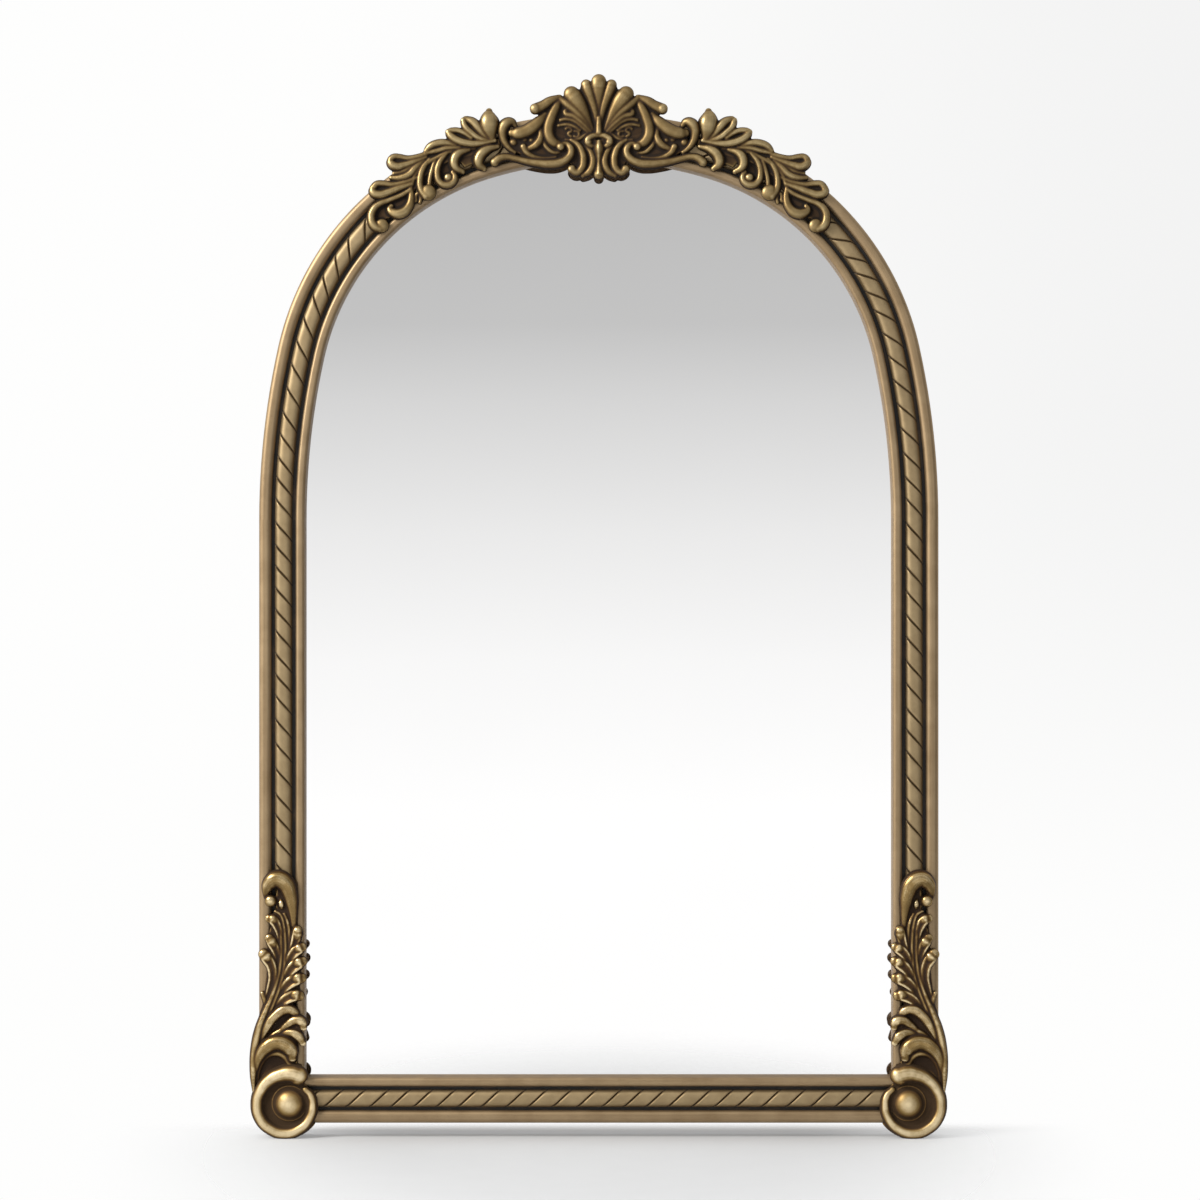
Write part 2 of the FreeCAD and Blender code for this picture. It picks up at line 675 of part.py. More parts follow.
# Foot volutes, with a return under the rail that reaches the back
dish_x, dish_z = corner_place(volute_dish_px[0], volute_dish_px[1])
dish = peg(at(dish_x, frame_depth, dish_z), Vec(0, -1, 0), volute_dish_px[2] * ornament_scale,
           dish_rise)
ring_x, ring_z = corner_place(volute_ring_px[0], volute_ring_px[1])
ring_wire = (volute_ring_px[2] - volute_boss_px[2]) * ornament_scale / 2
thin_ring = Part.makeTorus(volute_ring_px[2] * ornament_scale, ring_wire,
                           at(ring_x, frame_depth + ring_rise - ring_wire, ring_z),
                           Vec(0, 1, 0))
ring_wall = Part.makeCylinder(volute_ring_px[2] * ornament_scale,
                              ring_rise - ring_wire,
                              at(ring_x, frame_depth, ring_z), Vec(0, -1, 0))
boss = dome(volute_boss_px, corner_place, boss_rise, boss_bands)
volute = casting(ornament(volute_band_px, (), volute_balls_px, (), corner_place)
                 + [dish, thin_ring, ring_wall, boss])
return_x, return_z = corner_place(volute_return_px[0], volute_return_px[1])
return_disc = Part.makeCylinder(volute_return_px[2] * ornament_scale, frame_depth + dish_rise / 2,
                                at(return_x, 0, return_z), Vec(0, -1, 0))
under_rail = Part.makeBox(2 * face_width, front_reach + overrun, rail_bottom_z,
                          at(return_x - face_width, front_reach + overrun, 0))
volute = volute.fuse(return_disc.common(under_rail))
above_floor = Part.makeBox(4 * face_width, front_reach + overrun, 4 * face_width,
                           at(return_x - 2 * face_width, front_reach + overrun, 0))
volute = volute.common(above_floor)
volute = drill(volute, corner_pins, pin_radius, pin_length)
save("foot_scroll_left", volute)
save("foot_scroll_right", mirrored(volute))

# Acanthus leaves, cut back to clear the volutes
guard_x, guard_z = corner_place(volute_guard_px[0], volute_guard_px[1])
guard = Part.makeCylinder(volute_guard_px[2] * ornament_scale + ornament_clearance,
                          front_reach + overrun, at(guard_x, 0, guard_z), Vec(0, -1, 0))
acanthus = casting(ornament(leaf_ribs_px + leaf_lobes_px, leaf_field_px, leaf_balls_px, (),
                            corner_place))
acanthus = drill(acanthus.cut(guard), corner_pins, pin_radius, pin_length)
save("acanthus_left", acanthus)
save("acanthus_right", mirrored(acanthus))

# Glass, card sheet and backing board
glass_offset = glass_rebate_width - glass_clearance
board_offset = board_rebate_width - board_clearance
save("mirror_pane", sheet(glass_offset, board_thickness + card_thickness, glass_thickness))
save("card_sheet", sheet(glass_offset, board_thickness, card_thickness))
board = sheet(board_offset, 0, board_thickness)
board = drill(board, board_holes, screw_radius + screw_hole_clearance, board_thickness)
save("backing_board", board)

# Screws
head_profile = (
    at(0, 0, 0), at(screw_head_radius, 0, 0), at(screw_head_radius, -screw_head_height / 2, 0),
    at(screw_head_radius - screw_head_height / 2, -screw_head_height, 0),
    at(0, -screw_head_height, 0), at(0, 0, 0),
)
head = Part.Face(Part.makePolygon(head_profile)).revolve(at(0, 0, 0), Vec(0, 1, 0), 360)


def screw(x, z, lift):
    """A pan-head screw whose head sits on a surface lifted off the back."""
    shank = peg(at(0, 0, 0), Vec(0, -1, 0), screw_radius, screw_length - lift)
    one = head.fuse(shank)
    one.translate(Vec(x, lift, z))
    return one


save("backing_screws", Part.makeCompound([screw(x, z, 0) for x, z in screw_spots]))
hanger_screw = screw(hanger_x, hanger_screw_z, strap_thickness)
save("hanger_screws", Part.makeCompound([hanger_screw, mirrored(hanger_screw)]))
save("joint_dowels", Part.makeCompound(
    [peg(start, way, dowel_radius, dowel_length) for start, way in dowels]))
save("ornament_pins", Part.makeCompound(
    [peg(start, way, pin_radius, pin_length) for start, way in all_pins]))

# Strap plates with a rolled knuckle
half_strap = strap_width / 2
tongue = strap_length - half_strap
plate = Part.makeBox(strap_width, strap_thickness, tongue,
                     at(hanger_x - half_strap, 0, hanger_z - tongue))
toe = peg(at(hanger_x, 0, hanger_z - tongue), Vec(0, 1, 0), half_strap, strap_thickness)
knuckle_centre = at(hanger_x - half_strap, -knuckle_radius, hanger_z)
knuckle = Part.makeCylinder(knuckle_radius, strap_width, knuckle_centre, Vec(1, 0, 0))
bore = Part.makeCylinder(knuckle_bore, strap_width, knuckle_centre, Vec(1, 0, 0))
strap_hole = peg(at(hanger_x, 0, hanger_screw_z), Vec(0, 1, 0),
                 screw_radius + screw_hole_clearance, strap_thickness)
strap = plate.fuse([toe, knuckle]).cut([bore, strap_hole])
save("hanger_plate_left", strap)
save("hanger_plate_right", mirrored(strap))

# D-rings: a straight bar in the knuckle, two legs and a round bow
leg = ring_inner_half_width + ring_wire_radius
bow_z = -ring_drop + leg
turn_in = ring_corner_radius * (1 - lean)


def ring_spot(x, z):
    """A point of the ring's middle line, measured from the knuckle's middle."""
    return at(hanger_x + x, -knuckle_radius, hanger_z + z)


corner = leg - ring_corner_radius
ring_path = Part.Wire([
    Part.LineSegment(ring_spot(-leg, bow_z), ring_spot(-leg, -ring_corner_radius)).toShape(),
    Part.Arc(ring_spot(-leg, -ring_corner_radius), ring_spot(-leg + turn_in, -turn_in),
             ring_spot(-corner, 0)).toShape(),
    Part.LineSegment(ring_spot(-corner, 0), ring_spot(corner, 0)).toShape(),
    Part.Arc(ring_spot(corner, 0), ring_spot(leg - turn_in, -turn_in),
             ring_spot(leg, -ring_corner_radius)).toShape(),
    Part.LineSegment(ring_spot(leg, -ring_corner_radius), ring_spot(leg, bow_z)).toShape(),
    Part.Arc(ring_spot(leg, bow_z), ring_spot(0, -ring_drop), ring_spot(-leg, bow_z)).toShape(),
])
wire_section = Part.Wire([Part.makeCircle(ring_wire_radius, ring_spot(-leg, bow_z), Vec(0, 0, 1))])
ring = ring_path.makePipeShell([wire_section], True, True)
ring = Part.Solid(ring) if not ring.Solids else ring
save("hanger_ring_left", ring)
save("hanger_ring_right", mirrored(ring))

# Soft discs behind the lower corners
bumper = Part.makeCylinder(bumper_radius, bumper_height,
                           at(-sight_half_width - bumper_line, 0, sill_z + bumper_rise),
                           Vec(0, 1, 0))
rim = max(bumper.Edges, key=lambda edge: (edge.BoundBox.YMin, edge.Length))
bumper = bumper.makeFillet(bumper_round, [rim])
save("wall_bumpers", Part.makeCompound([bumper, mirrored(bumper)]))
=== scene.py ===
"""An arched mirror in an antique gold frame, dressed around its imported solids."""
import logging
import math
import random
from dataclasses import dataclass, field, replace
from enum import Enum
from typing import Callable, NamedTuple, Sequence

import bpy
import numpy as np
from mathutils import Matrix, Vector


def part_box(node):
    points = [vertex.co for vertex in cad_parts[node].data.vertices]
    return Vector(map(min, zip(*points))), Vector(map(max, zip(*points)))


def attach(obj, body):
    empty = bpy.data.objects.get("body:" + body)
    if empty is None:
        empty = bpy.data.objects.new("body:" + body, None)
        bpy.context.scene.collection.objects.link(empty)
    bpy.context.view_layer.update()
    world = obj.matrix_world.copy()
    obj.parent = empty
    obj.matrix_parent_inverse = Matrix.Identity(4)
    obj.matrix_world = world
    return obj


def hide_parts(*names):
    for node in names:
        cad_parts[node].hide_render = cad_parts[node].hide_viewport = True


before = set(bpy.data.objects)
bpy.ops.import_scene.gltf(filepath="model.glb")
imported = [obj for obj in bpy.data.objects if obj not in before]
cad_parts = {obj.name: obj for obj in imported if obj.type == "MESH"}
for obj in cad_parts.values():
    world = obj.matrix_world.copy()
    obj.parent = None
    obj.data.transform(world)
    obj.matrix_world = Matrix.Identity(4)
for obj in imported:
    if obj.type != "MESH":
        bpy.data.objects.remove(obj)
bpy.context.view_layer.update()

MM = 0.001
QUARTER = math.pi / 2
MERGE = 0.002 * MM
SEAT_SINK = 0.25 * MM
SEAT_CUT = Vector((0.0, 0.0, -SEAT_SINK)), Vector((0.0, 0.0, -1.0))
MIRROR = Matrix.Scale(-1.0, 4, (1.0, 0.0, 0.0))
MIX_FIRST, MIX_SECOND, MIX_RESULT = 6, 7, 2
LOG = logging.getLogger("mirror")

Triple = tuple[float, float, float]
Pair = tuple[float, float]
Colour = Triple
Station = Triple
Spot = Pair
Place = Callable[[float, float], Spot]


def arithmetic(operation: str, swapped: bool = False) -> Callable[["Socket", object], "Socket"]:
    """An operator of Socket that adds one Math node.

    Args:
        operation: Operation of the node.
        swapped: Whether the other value comes first.

    Returns:
        The operator.
    """
    def operator(self: "Socket", other: object) -> "Socket":
        """Adds the node."""
        first, second = (other, self) if swapped else (self, other)
        return self.sheet.node("ShaderNodeMath", {"operation": operation}, {0: first, 1: second})
    return operator


class Socket:
    """A shader value that adds its own Math nodes when it is used in a sum."""

    __add__, __radd__ = arithmetic("ADD"), arithmetic("ADD", True)
    __sub__, __rsub__ = arithmetic("SUBTRACT"), arithmetic("SUBTRACT", True)
    __mul__, __rmul__ = arithmetic("MULTIPLY"), arithmetic("MULTIPLY", True)

    def __init__(self, sheet: "Sheet", link: bpy.types.NodeSocket) -> None:
        """Wraps one output socket of a sheet."""
        self.sheet = sheet
        self.link = link

    def step(self, low: float, high: float) -> "Socket":
        """A smooth step from 0 at low to 1 at high.

        Args:
            low: Value where the step starts.
            high: Value where the step ends.

        Returns:
            The stepped value, held between 0 and 1.
        """
        settings = {"interpolation_type": "SMOOTHSTEP"}
        return self.sheet.node("ShaderNodeMapRange", settings, {0: self, 1: low, 2: high})


class Sheet:
    """The node sheet of one material or of the world."""

    def __init__(self, tree: bpy.types.NodeTree) -> None:
        """Clears a node tree and starts on it."""
        self.tree = tree
        tree.nodes.clear()

    def node(self, kind: str, settings: dict | None = None, inputs: dict | None = None,
             output: int | str = 0) -> Socket:
        """Adds any node.

        Args:
            kind: Node type.
            settings: Properties to set first.
            inputs: Values or sockets by input name or number.
            output: Which output to hand back.

        Returns:
            The wrapped output socket.
        """
        node = self.tree.nodes.new(kind)
        for name, value in (settings or {}).items():
            setattr(node, name, value)
        for key, value in (inputs or {}).items():
            socket = node.inputs[key]
            if isinstance(value, Socket):
                self.tree.links.new(value.link, socket)
            elif isinstance(value, tuple) and len(value) == 3 and socket.type == "RGBA":
                socket.default_value = (*value, 1.0)
            else:
                socket.default_value = value
        return Socket(self, node.outputs[output]) if node.outputs else None

    def place(self) -> Socket:
        """The Object coordinates."""
        return self.node("ShaderNodeTexCoord", output="Object")

    def axis(self, vector: Socket, name: str) -> Socket:
        """One axis of a vector."""
        return self.node("ShaderNodeSeparateXYZ", inputs={0: vector}, output=name)

    def attribute(self, name: str) -> Socket:
        """A number that the piece's own mesh carries."""
        settings = {"attribute_name": name, "attribute_type": "GEOMETRY"}
        return self.node("ShaderNodeAttribute", settings, output="Fac")

    def noise(self, vector: Socket, scale: float, detail: float = 3.0,
              roughness: float = 0.55) -> Socket:
        """A soft noise value between 0 and 1.

        Args:
            vector: Coordinates.
            scale: Waves per metre.
            detail: Number of finer layers.
            roughness: Strength of the finer layers.

        Returns:
            The noise value.
        """
        return self.node("ShaderNodeTexNoise", {"noise_dimensions": "3D"},
                         {"Vector": vector, "Scale": scale, "Detail": detail,
                          "Roughness": roughness})

    def stretch(self, vector: Socket, scale: Triple) -> Socket:
        """Coordinates scaled along each axis."""
        return self.node("ShaderNodeMapping", inputs={"Vector": vector, "Scale": scale})

    def ramp(self, value: Socket, stops: Sequence[float], colours: Sequence[Colour]) -> Socket:
        """A colour from a value.

        Args:
            value: The value.
            stops: Values of the stops, rising.
            colours: Colours of the stops.

        Returns:
            The colour.
        """
        colour = self.node("ShaderNodeValToRGB", inputs={0: value}, output="Color")
        ramp = colour.link.node.color_ramp
        while len(ramp.elements) < len(stops):
            ramp.elements.new(1.0)
        for element, stop, shade in zip(ramp.elements, stops, colours):
            element.position = stop
            element.color = (*shade, 1.0)
        return colour

    def mix(self, share: Socket | float, first: Socket | Colour, second: Socket | Colour,
            blend: str = "MIX") -> Socket:
        """Mixes two colours.

        Args:
            share: Share of the second colour.
            first: Colour at share 0.
            second: Colour at share 1.
            blend: Blend type.

        Returns:
            The mixed colour.
        """
        settings = {"data_type": "RGBA", "blend_type": blend}
        return self.node("ShaderNodeMix", settings, {0: share, MIX_FIRST: first, MIX_SECOND: second},
                         output=MIX_RESULT)

    def bump(self, height: Socket, reach: float, strength: float) -> Socket:
        """A normal from a height in metres."""
        return self.node("ShaderNodeBump", inputs={"Strength": strength, "Distance": reach,
                                                   "Height": height})

    def surface(self, **inputs: object) -> None:
        """Ends the sheet with one principled surface; names use _ for spaces."""
        named = {key.replace("_", " "): value for key, value in inputs.items()}
        shader = self.node("ShaderNodeBsdfPrincipled", inputs=named)
        self.node("ShaderNodeOutputMaterial", inputs={"Surface": shader})


class Finish:
    """A material that is made once and then shared."""

    title = "finish"

    def paint(self, sheet: Sheet) -> None:
        """Fills the sheet; each finish has its own way."""
        raise NotImplementedError

    def material(self) -> bpy.types.Material:
        """The material, made on the first call.

        Returns:
            The material.
        """
        found = bpy.data.materials.get(self.title)
        if found is None:
            found = bpy.data.materials.new(self.title)
            found.use_nodes = True
            self.paint(Sheet(found.node_tree))
        return found


@dataclass(frozen=True)
class Gilding(Finish):
    """Antique gold on the frame lengths: tan beads lighter on top as a painted highlight, painted shade
    going near black down in the grooves, wood behind.
    """

    title: str = "frame gilding"
    back: float = 0.0
    bare_from: float = 5.0 * MM
    bare_to: float = 2.0 * MM
    # the lowest stop is painted shade on the channel floor; the top stop is worn gilt and a painted
    # highlight in one colour
    groove_shade: Colour = (0.010, 0.008, 0.006)
    brown: Colour = (0.145, 0.088, 0.042)
    tan: Colour = (0.275, 0.186, 0.098)
    rubbed_and_highlight: Colour = (0.50, 0.37, 0.22)
    wood: Colour = (0.20, 0.125, 0.07)
    wood_dark: Colour = (0.085, 0.05, 0.027)
    streak_scale: Triple = (7.0, 420.0, 420.0)
    grain_scale: Triple = (5.0, 260.0, 260.0)
    mottle_scale: float = 55.0
    fleck_scale: float = 900.0
    fleck_edge: Pair = (0.62, 0.78)
    fleck_share: float = 0.35
    grain_edge: Pair = (0.3, 0.72)
    by_height_shade: float = 0.62
    by_streak: float = 0.34
    by_mottle: float = 0.3
    level: float = -0.2
    stops: tuple[float, ...] = (0.12, 0.36, 0.62, 0.98)
    metal: float = 0.78
    metal_edge: Pair = (0.25, 0.6)
    rough: float = 0.36
    rough_mottle: float = 0.2
    rough_back: float = 0.25
    rough_low: float = 0.2
    wave_mottle: float = 0.6
    wave_streak: float = 0.4
    bump: Pair = (0.25 * MM, 0.55)

    def paint(self, sheet: Sheet) -> None:
        """Beads toned by height, with painted shade down into the channel and a painted highlight on the
        bead tops; streaks along the length, bare wood on the back.

        Args:
            sheet: The node sheet of the material.
        """
        place = sheet.place()
        depth = sheet.axis(place, "Y")
        run = sheet.node("ShaderNodeCombineXYZ",
                         inputs={0: sheet.attribute("along"), 1: sheet.attribute("across"), 2: depth})
        streak = sheet.noise(sheet.stretch(run, self.streak_scale), 1.0, detail=4.0)
        mottle = sheet.noise(place, self.mottle_scale, detail=4.0)
        fleck = sheet.noise(place, self.fleck_scale, detail=2.0).step(*self.fleck_edge)
        height = sheet.attribute("relief")
        # painted shade and highlight: relief darkens the tone down the channel walls and lightens it on the
        # bead tops
        tone = self.by_height_shade * height + self.by_streak * streak + self.by_mottle * mottle + self.level
        gold = sheet.ramp(tone, self.stops, (self.groove_shade, self.brown, self.tan, self.rubbed_and_highlight))
        gold = sheet.mix(self.fleck_share * fleck, gold, self.brown)
        grain = sheet.noise(sheet.stretch(run, self.grain_scale), 1.0, detail=5.0)
        wood = sheet.mix(grain.step(*self.grain_edge), self.wood_dark, self.wood)
        behind = depth.step(self.back - self.bare_from, self.back - self.bare_to)
        colour = sheet.mix(behind, gold, wood)
        metal = (1.0 - behind) * tone.step(*self.metal_edge) * self.metal
        rough = self.rough + self.rough_mottle * mottle + self.rough_back * behind
        wave = self.wave_mottle * mottle + self.wave_streak * streak
        sheet.surface(Base_Color=colour, Metallic=metal, Normal=sheet.bump(wave, *self.bump),
                      Roughness=rough + self.rough_low * (1.0 - height))


@dataclass(frozen=True)
class RibbonGilding(Finish):
    """Antique gold on the twisted ribbon, with painted shade in its cuts and along its sides."""

    title: str = "ribbon gilding"
    seat: float = 0.0
    black: Colour = (0.011, 0.008, 0.006)
    brown: Colour = (0.145, 0.092, 0.043)
    tan: Colour = (0.25, 0.176, 0.090)
    rubbed_and_highlight: Colour = (0.42, 0.315, 0.175)
    low: float = 4.6 * MM
    high: float = 0.9 * MM
    mottle_scale: float = 90.0
    fine_scale: float = 700.0
    by_cut_shade: float = 0.55
    by_height_shade: float = 0.34
    by_mottle: float = 0.36
    by_fine: float = 0.1
    level: float = -0.24
    stops: tuple[float, ...] = (0.1, 0.42, 0.7, 1.0)
    metal: float = 0.78
    metal_edge: Pair = (0.3, 0.7)
    rough: float = 0.56
    rough_height: float = -0.1
    rough_fine: float = 0.14
    bump: Pair = (0.3 * MM, 0.5)

    def paint(self, sheet: Sheet) -> None:
        """Tan lobes with painted shade that gathers in the cuts and down the sides, lightest on the lobe
        tops as a painted highlight.

        Args:
            sheet: The node sheet of the material.
        """
        place = sheet.place()
        depth = sheet.axis(place, "Y")
        lobe = sheet.attribute("lobe")
        mottle = sheet.noise(place, self.mottle_scale, detail=5.0)
        fine = sheet.noise(place, self.fine_scale, detail=2.0)
        height = depth.step(self.seat + self.low, self.seat + self.high)
        # painted shade: darker near each cut and lower down the sides; the top stop is worn gilt and a
        # painted highlight
        tone = self.by_cut_shade * lobe + self.by_height_shade * height + self.by_mottle * mottle
        tone = tone + self.by_fine * fine + self.level
        colour = sheet.ramp(tone, self.stops, (self.black, self.brown, self.tan, self.rubbed_and_highlight))
        rough = self.rough + self.rough_height * height + self.rough_fine * fine
        sheet.surface(Base_Color=colour, Metallic=tone.step(*self.metal_edge) * self.metal,
                      Roughness=rough, Normal=sheet.bump(mottle, *self.bump))


@dataclass(frozen=True)
class CarvedGilding(Finish):
    """Worn gold of the applied carving, lighter where worn on its high points and painted lighter there as
    highlight, brown in its hollows as patina and painted shade, and on its flanks as painted shade.
    """

    title: str = "carved gilding"
    seat: float = 0.0
    black: Colour = (0.012, 0.007, 0.004)
    umber: Colour = (0.050, 0.027, 0.012)
    bronze: Colour = (0.125, 0.077, 0.031)
    gold: Colour = (0.27, 0.185, 0.080)
    rubbed_and_highlight: Colour = (0.50, 0.385, 0.20)
    raw: Colour = (0.085, 0.052, 0.027)
    gloss: float = 0.5
    bias: float = -0.2
    contrast: float = 0.82
    low: float = 0.5 * MM
    high: float = 9.5 * MM
    mottle_scale: float = 75.0
    fine_scale: float = 900.0
    by_height_shade: float = 0.52
    by_mottle: float = 0.3
    by_fine: float = 0.08
    level: float = 0.22
    stops: tuple[float, ...] = (0.14, 0.32, 0.52, 0.76, 1.0)
    metal: float = 0.92
    metal_edge: Pair = (0.15, 0.6)
    rubbed_edge: Pair = (0.25, 0.85)
    rubbed_gloss: float = 0.17
    hollow_edge: Pair = (0.5, 0.2)
    rough_hollow: float = 0.3
    rough_fine: float = 0.14
    wave_mottle: float = 0.7
    wave_fine: float = 0.3
    bump: Pair = (0.3 * MM, 0.35)
    sheen: float = 0.25
    raw_from: float = 0.2 * MM
    raw_to: float = 0.05 * MM

    def paint(self, sheet: Sheet) -> None:
        """Tone by hollow and by height, giving painted shade in hollows and low down (partly patina) and a
        painted highlight high up, and by a soft mottle as if worn by hand.

        Args:
            sheet: The node sheet of the material.
        """
        place = sheet.place()
        depth = sheet.axis(place, "Y")
        wear = sheet.attribute("wear")
        mottle = sheet.noise(place, self.mottle_scale, detail=5.0)
        fine = sheet.noise(place, self.fine_scale, detail=2.0)
        height = depth.step(self.seat - self.low, self.seat - self.high)
        # painted shade and highlight: hollows, flanks turned from the front and low parts darken the tone
        # (hollows partly patina), high parts lighten it
        tone = self.contrast * (wear - 0.5) + self.by_height_shade * height + self.by_mottle * mottle
        tone = tone + self.by_fine * fine + self.level + self.bias
        # the stops run from painted shade in the deepest crevices to worn gilt and painted highlight
        colour = sheet.ramp(tone, self.stops,
                            (self.black, self.umber, self.bronze, self.gold, self.rubbed_and_highlight))
        behind = depth.step(self.seat - self.raw_from, self.seat + self.raw_to)
        colour = sheet.mix(behind, colour, self.raw)
        rough = self.gloss - self.rubbed_gloss * tone.step(*self.rubbed_edge) + self.rough_fine * fine
        rough = rough + self.rough_hollow * tone.step(*self.hollow_edge)
        wave = self.wave_mottle * mottle + self.wave_fine * fine
        sheet.surface(Base_Color=colour, Metallic=tone.step(*self.metal_edge) * self.metal,
                      Roughness=rough, Specular_IOR_Level=self.sheen,
                      Normal=sheet.bump(wave, *self.bump))


@dataclass(frozen=True)
class SilveredGlass(Finish):
    """Clear glass with a silver coat behind it."""

    title: str = "silvered glass"
    silver: Colour = (0.965, 0.962, 0.96)
    haze: Colour = (0.945, 0.942, 0.94)
    haze_scale: float = 6.0
    haze_rough: float = 0.012

    def paint(self, sheet: Sheet) -> None:
        """A clean mirror with the faintest haze.

        Args:
            sheet: The node sheet of the material.
        """
        cloud = sheet.noise(sheet.place(), self.haze_scale)
        sheet.surface(Base_Color=sheet.mix(cloud, self.silver, self.haze), Metallic=1.0,
                      Roughness=self.haze_rough * cloud)


@dataclass(frozen=True)
class Fibre(Finish):
    """Pressed or layered fibre: the board and the card."""

    title: str = "pressed board"
    light: Colour = (0.30, 0.18, 0.088)
    dark: Colour = (0.15, 0.083, 0.038)
    weave: Triple = (1.0, 1.0, 1.0)
    pitch: float = 420.0
    stain_scale: float = 11.0
    fibre_edge: Pair = (0.3, 0.7)
    stain_edge: Pair = (0.2, 0.8)
    fibre_share: float = 0.62
    stain_share: float = 0.38
    rough: Pair = (0.62, 0.25)
    bump: Pair = (0.2 * MM, 0.4)

    def paint(self, sheet: Sheet) -> None:
        """Fine fibres over a slow stain.

        Args:
            sheet: The node sheet of the material.
        """
        place = sheet.stretch(sheet.place(), self.weave)
        fibre = sheet.noise(place, self.pitch, detail=5.0, roughness=0.7)
        stain = sheet.noise(place, self.stain_scale, detail=4.0)
        share = self.fibre_share * fibre.step(*self.fibre_edge)
        share = share + self.stain_share * stain.step(*self.stain_edge)
        sheet.surface(Base_Color=sheet.mix(share, self.dark, self.light),
                      Roughness=self.rough[0] + self.rough[1] * fibre,
                      Normal=sheet.bump(fibre, *self.bump))


@dataclass(frozen=True)
class PlatedSteel(Finish):
    """Bright plated steel of straps, rings and screws."""

    title: str = "plated steel"
    bright: Colour = (0.70, 0.66, 0.58)
    dull: Colour = (0.44, 0.40, 0.34)
    cloud_scale: float = 160.0
    wipe_scale: float = 600.0
    wipe_stretch: Triple = (1.0, 1.0, 9.0)
    cloud_edge: Pair = (0.35, 0.7)
    rough: Pair = (0.24, 0.22)
    bump: Pair = (0.05 * MM, 0.3)

    def paint(self, sheet: Sheet) -> None:
        """Plating with dull clouds and fine wipes.

        Args:
            sheet: The node sheet of the material.
        """
        place = sheet.place()
        cloud = sheet.noise(place, self.cloud_scale, detail=4.0)
        wipe = sheet.noise(sheet.stretch(place, self.wipe_stretch), self.wipe_scale)
        sheet.surface(Base_Color=sheet.mix(cloud.step(*self.cloud_edge), self.bright, self.dull),
                      Metallic=1.0, Roughness=self.rough[0] + self.rough[1] * wipe,
                      Normal=sheet.bump(wipe, *self.bump))


@dataclass(frozen=True)
class Clouded(Finish):
    """A matt surface in two colours: the wood of the pegs and the rubber of the wall discs."""

    title: str = "peg wood"
    first: Colour = (0.55, 0.38, 0.21)
    second: Colour = (0.36, 0.22, 0.11)
    scale: float = 500.0
    edge: Pair = (0.4, 0.7)
    rough: Pair = (0.55, 0.2)
    bump: Pair = (0.0, 0.0)

    def paint(self, sheet: Sheet) -> None:
        """Clouds of the second colour on the first.

        Args:
            sheet: The node sheet of the material.
        """
        cloud = sheet.noise(sheet.place(), self.scale, detail=4.0)
        sheet.surface(Base_Color=sheet.mix(cloud.step(*self.edge), self.first, self.second),
                      Roughness=self.rough[0] + self.rough[1] * cloud,
                      Normal=sheet.bump(cloud, *self.bump))


SOFT_RUBBER = Clouded("soft rubber", (0.035, 0.033, 0.032), (0.075, 0.072, 0.07), scale=240.0,
                      edge=(0.4, 0.75), rough=(0.6, 0.25), bump=(0.1 * MM, 0.4))
CARD = Fibre("corrugated card", light=(0.42, 0.28, 0.15), dark=(0.30, 0.19, 0.10),
             weave=(40.0, 1.0, 1.0), pitch=9.0)


class Arc(NamedTuple):
    """One arc of the head: its centre, radius and angles from the crown's side."""

    x: float
    z: float
    radius: float
    start: float
    end: float

    def point(self, turn: float, out: float) -> Spot:
        """A point on the left half, outside the sight edge by out."""
        reach = self.radius + out
        return -self.x - reach * math.sin(turn), self.z + reach * math.cos(turn)


